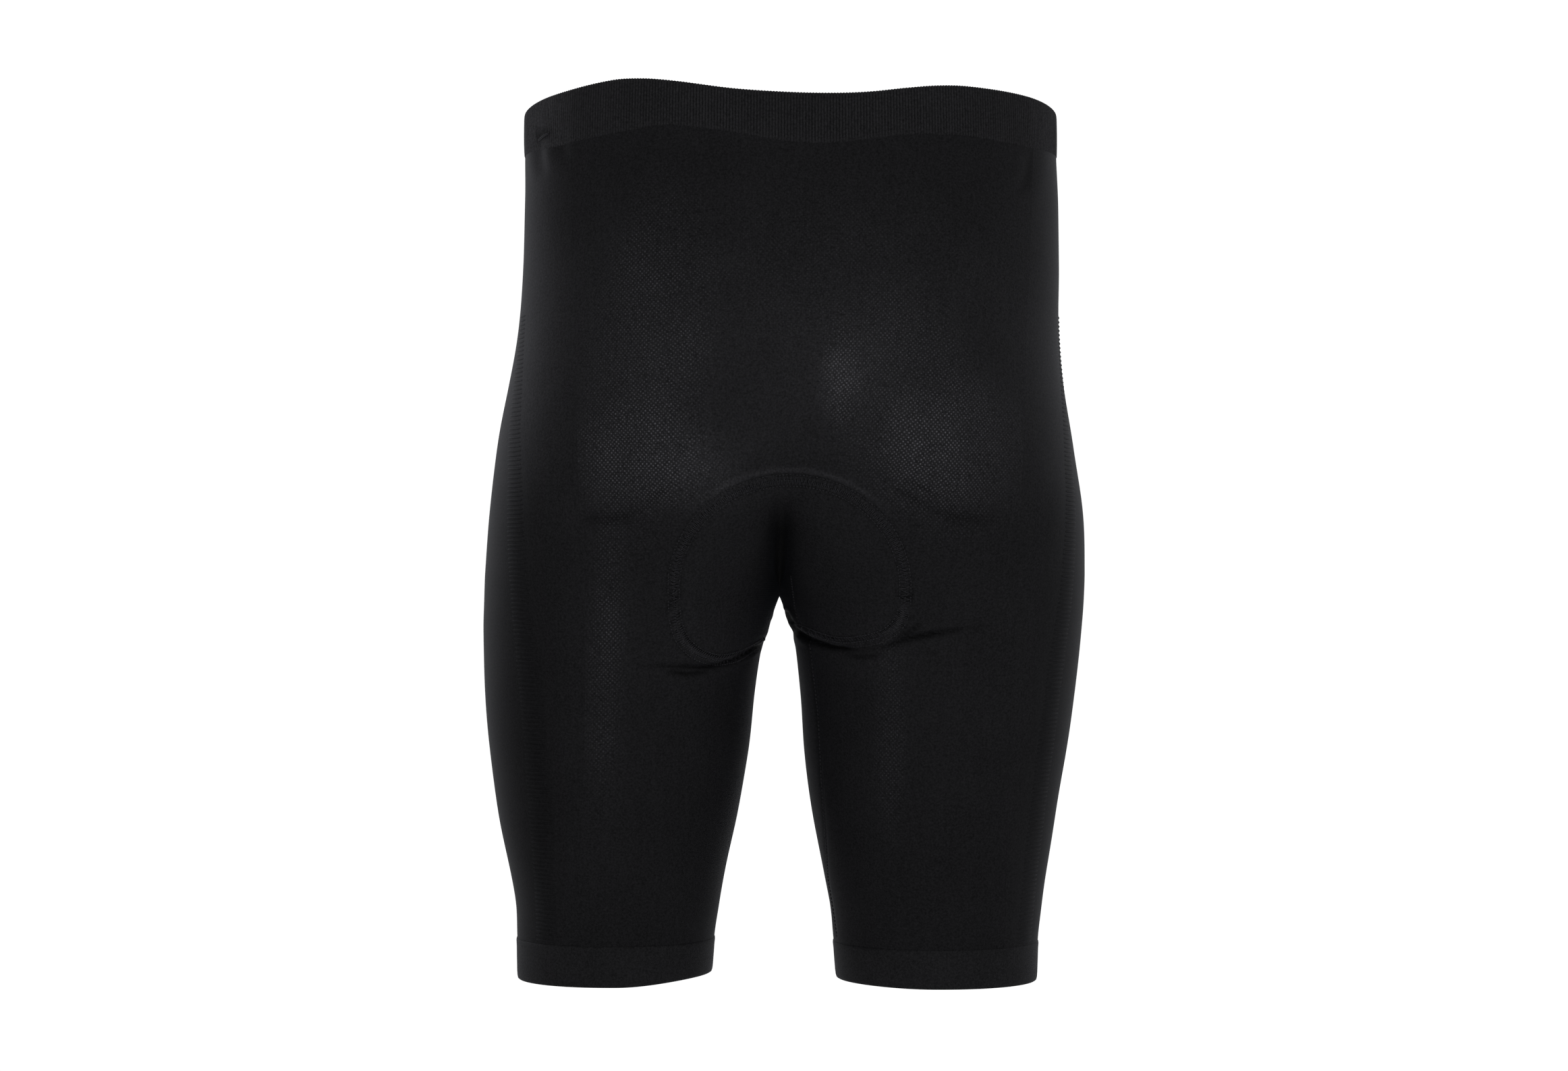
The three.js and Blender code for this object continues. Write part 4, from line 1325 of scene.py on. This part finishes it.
SEWN_LIFT = 0.2
BARTACK_LIFT = 0.9
BARTACK = [[(-139, -30.2), (-132, -27.8)], [(-139.2, -31), (-132.2, -28.6)]]
STITCH_SIZE = (0.42 * MM, 0.42 * MM, 0.75 * MM)
ZIGZAG_PITCH = 2.0
ZIGZAG_RADIUS = 0.24
pad_stitches = along_lines("pad_stitches", pad_lines(), stitches, sewn(1.9))
zigzag = pad_zigzag()
cover_thread = along_lines(
    "pad_cover_thread",
    zigzag,
    ribs,
    {"Sides": 5, "Material": thread},
    [np.full(len(line), ZIGZAG_RADIUS) for line in zigzag],
)
inseam_lines = [path_line(INSEAM, SEWN_LIFT)]
inseam_stitches = along_lines("inseam_stitches", inseam_lines, stitches, sewn(2.2))
bartack_lines = [path_line(path, BARTACK_LIFT) for path in BARTACK]
bartack = along_lines("bartack", bartack_lines, stitches, sewn(1.1))
for obj in (pad_stitches, cover_thread, inseam_stitches, bartack):
    paint(obj, plain_tone)

# %% [markdown]
# ## Studio
# The photograph is a cut-out on white, lit softly from the front, with light from behind on the rims.
# One large light and two strips do that here, in pale surroundings that are brighter behind.

# %% Studio
scene = bpy.context.scene
scene.view_settings.view_transform = "Standard"
world = bpy.data.worlds.new("studio")
scene.world = world
world.use_nodes = True
sky = world.node_tree
background = sky.nodes["Background"].inputs
background["Color"].default_value = (1, 1, 1, 1)
sky_place = add_node(sky, "ShaderNodeTexCoord")
sky_split = add_node(sky, "ShaderNodeSeparateXYZ")
sky_values = {"From Min": -0.5, "From Max": 0.9, "To Min": 0.55, "To Max": 1.05}
sky_range = add_node(sky, "ShaderNodeMapRange", sky_values, interpolation_type="SMOOTHSTEP")
wire(
    sky,
    (sky_place.outputs["Generated"], sky_split.inputs[0]),
    (sky_split.outputs["Y"], sky_range.inputs["Value"]),
    (sky_range.outputs[0], background["Strength"]),
)

floor_data = bpy.data.meshes.new("floor")
# The floor ends behind the garment, where it would rise into the camera's view
FLOOR_Z = -0.72
FLOOR_SPAN = 5
FLOOR_BEHIND = 1.2
floor_corners = [
    (-FLOOR_SPAN, -FLOOR_SPAN, FLOOR_Z),
    (FLOOR_SPAN, -FLOOR_SPAN, FLOOR_Z),
    (FLOOR_SPAN, FLOOR_BEHIND, FLOOR_Z),
    (-FLOOR_SPAN, FLOOR_BEHIND, FLOOR_Z),
]
floor_data.from_pydata(floor_corners, [], [(0, 1, 2, 3)])
floor = bpy.data.objects.new("floor", floor_data)
scene.collection.objects.link(floor)
floor_material = bpy.data.materials.new("floor")
floor_material.use_nodes = True
floor_shader = floor_material.node_tree.nodes["Principled BSDF"].inputs
floor_shader["Base Color"].default_value = (0.95, 0.95, 0.95, 1)
floor_shader["Roughness"].default_value = 0.9
floor_data.materials.append(floor_material)


def area_light(name, place, aim, size, power, colour):
    data = bpy.data.lights.new(name, "AREA")
    data.shape = "RECTANGLE"
    data.size, data.size_y = size
    data.energy = power
    data.color = colour
    light = bpy.data.objects.new(name, data)
    light.location = place
    direction = np.array(aim) - np.array(place)
    yaw = math.atan2(direction[1], direction[0])
    pitch = math.atan2(direction[2], math.hypot(direction[0], direction[1]))
    light.rotation_euler = (math.pi / 2 + pitch, 0, yaw - math.pi / 2)
    scene.collection.objects.link(light)
    print(name, power, "W")


WHITE = (1, 1, 1)
COOL = (0.88, 0.9, 1)
area_light("key", (0.5, -2.6, 1.3), (0, 0, -0.2), (1.8, 1.4), 20, WHITE)
area_light("left strip", (-1.9, 1.7, 0.4), (0, 0, -0.1), (0.8, 1.5), 11, COOL)
area_light("right strip", (1.9, 1.7, 0.4), (0, 0, -0.1), (0.8, 1.5), 4.8, COOL)

# %% [markdown]
# ## Riding and flat sizes
# Cloth has no joints, so each visible piece stands for its solid, whose own part is hidden, and rides on
# the one body. For the flat sizes of what shows, all round on a tube, each piece's extent and half its
# surface are printed.

# %% Riding
def facts(obj, slot, *nodes):
    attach(obj, "root")
    if nodes:
        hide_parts(*nodes)


facts(back, "body_knit", "back")
facts(front, "body_knit", "front")
facts(side_left, "side_knit", "side_left")
facts(side_right, "side_knit", "side_right")
facts(ribs_left, "side_knit")
facts(ribs_right, "side_knit")
facts(waistband, "rib_band", "waistband")
facts(hem_left, "hem_band", "hem_left")
facts(hem_right, "hem_band", "hem_right")
facts(pad, "pad_cloth", "pad")
facts(pad_stitches, "body_knit")
facts(cover_thread, "body_knit")
facts(inseam_stitches, "body_knit")
facts(bartack, "rib_band")

# %% Flat sizes
for obj in (back, front, side_left, side_right, waistband, hem_left, hem_right):
    size = [round(d, 4) for d in obj.dimensions]
    half_area = sum(p.area for p in obj.data.polygons) / 2
    print(obj.name, "half area", round(half_area, 5), "size", size)
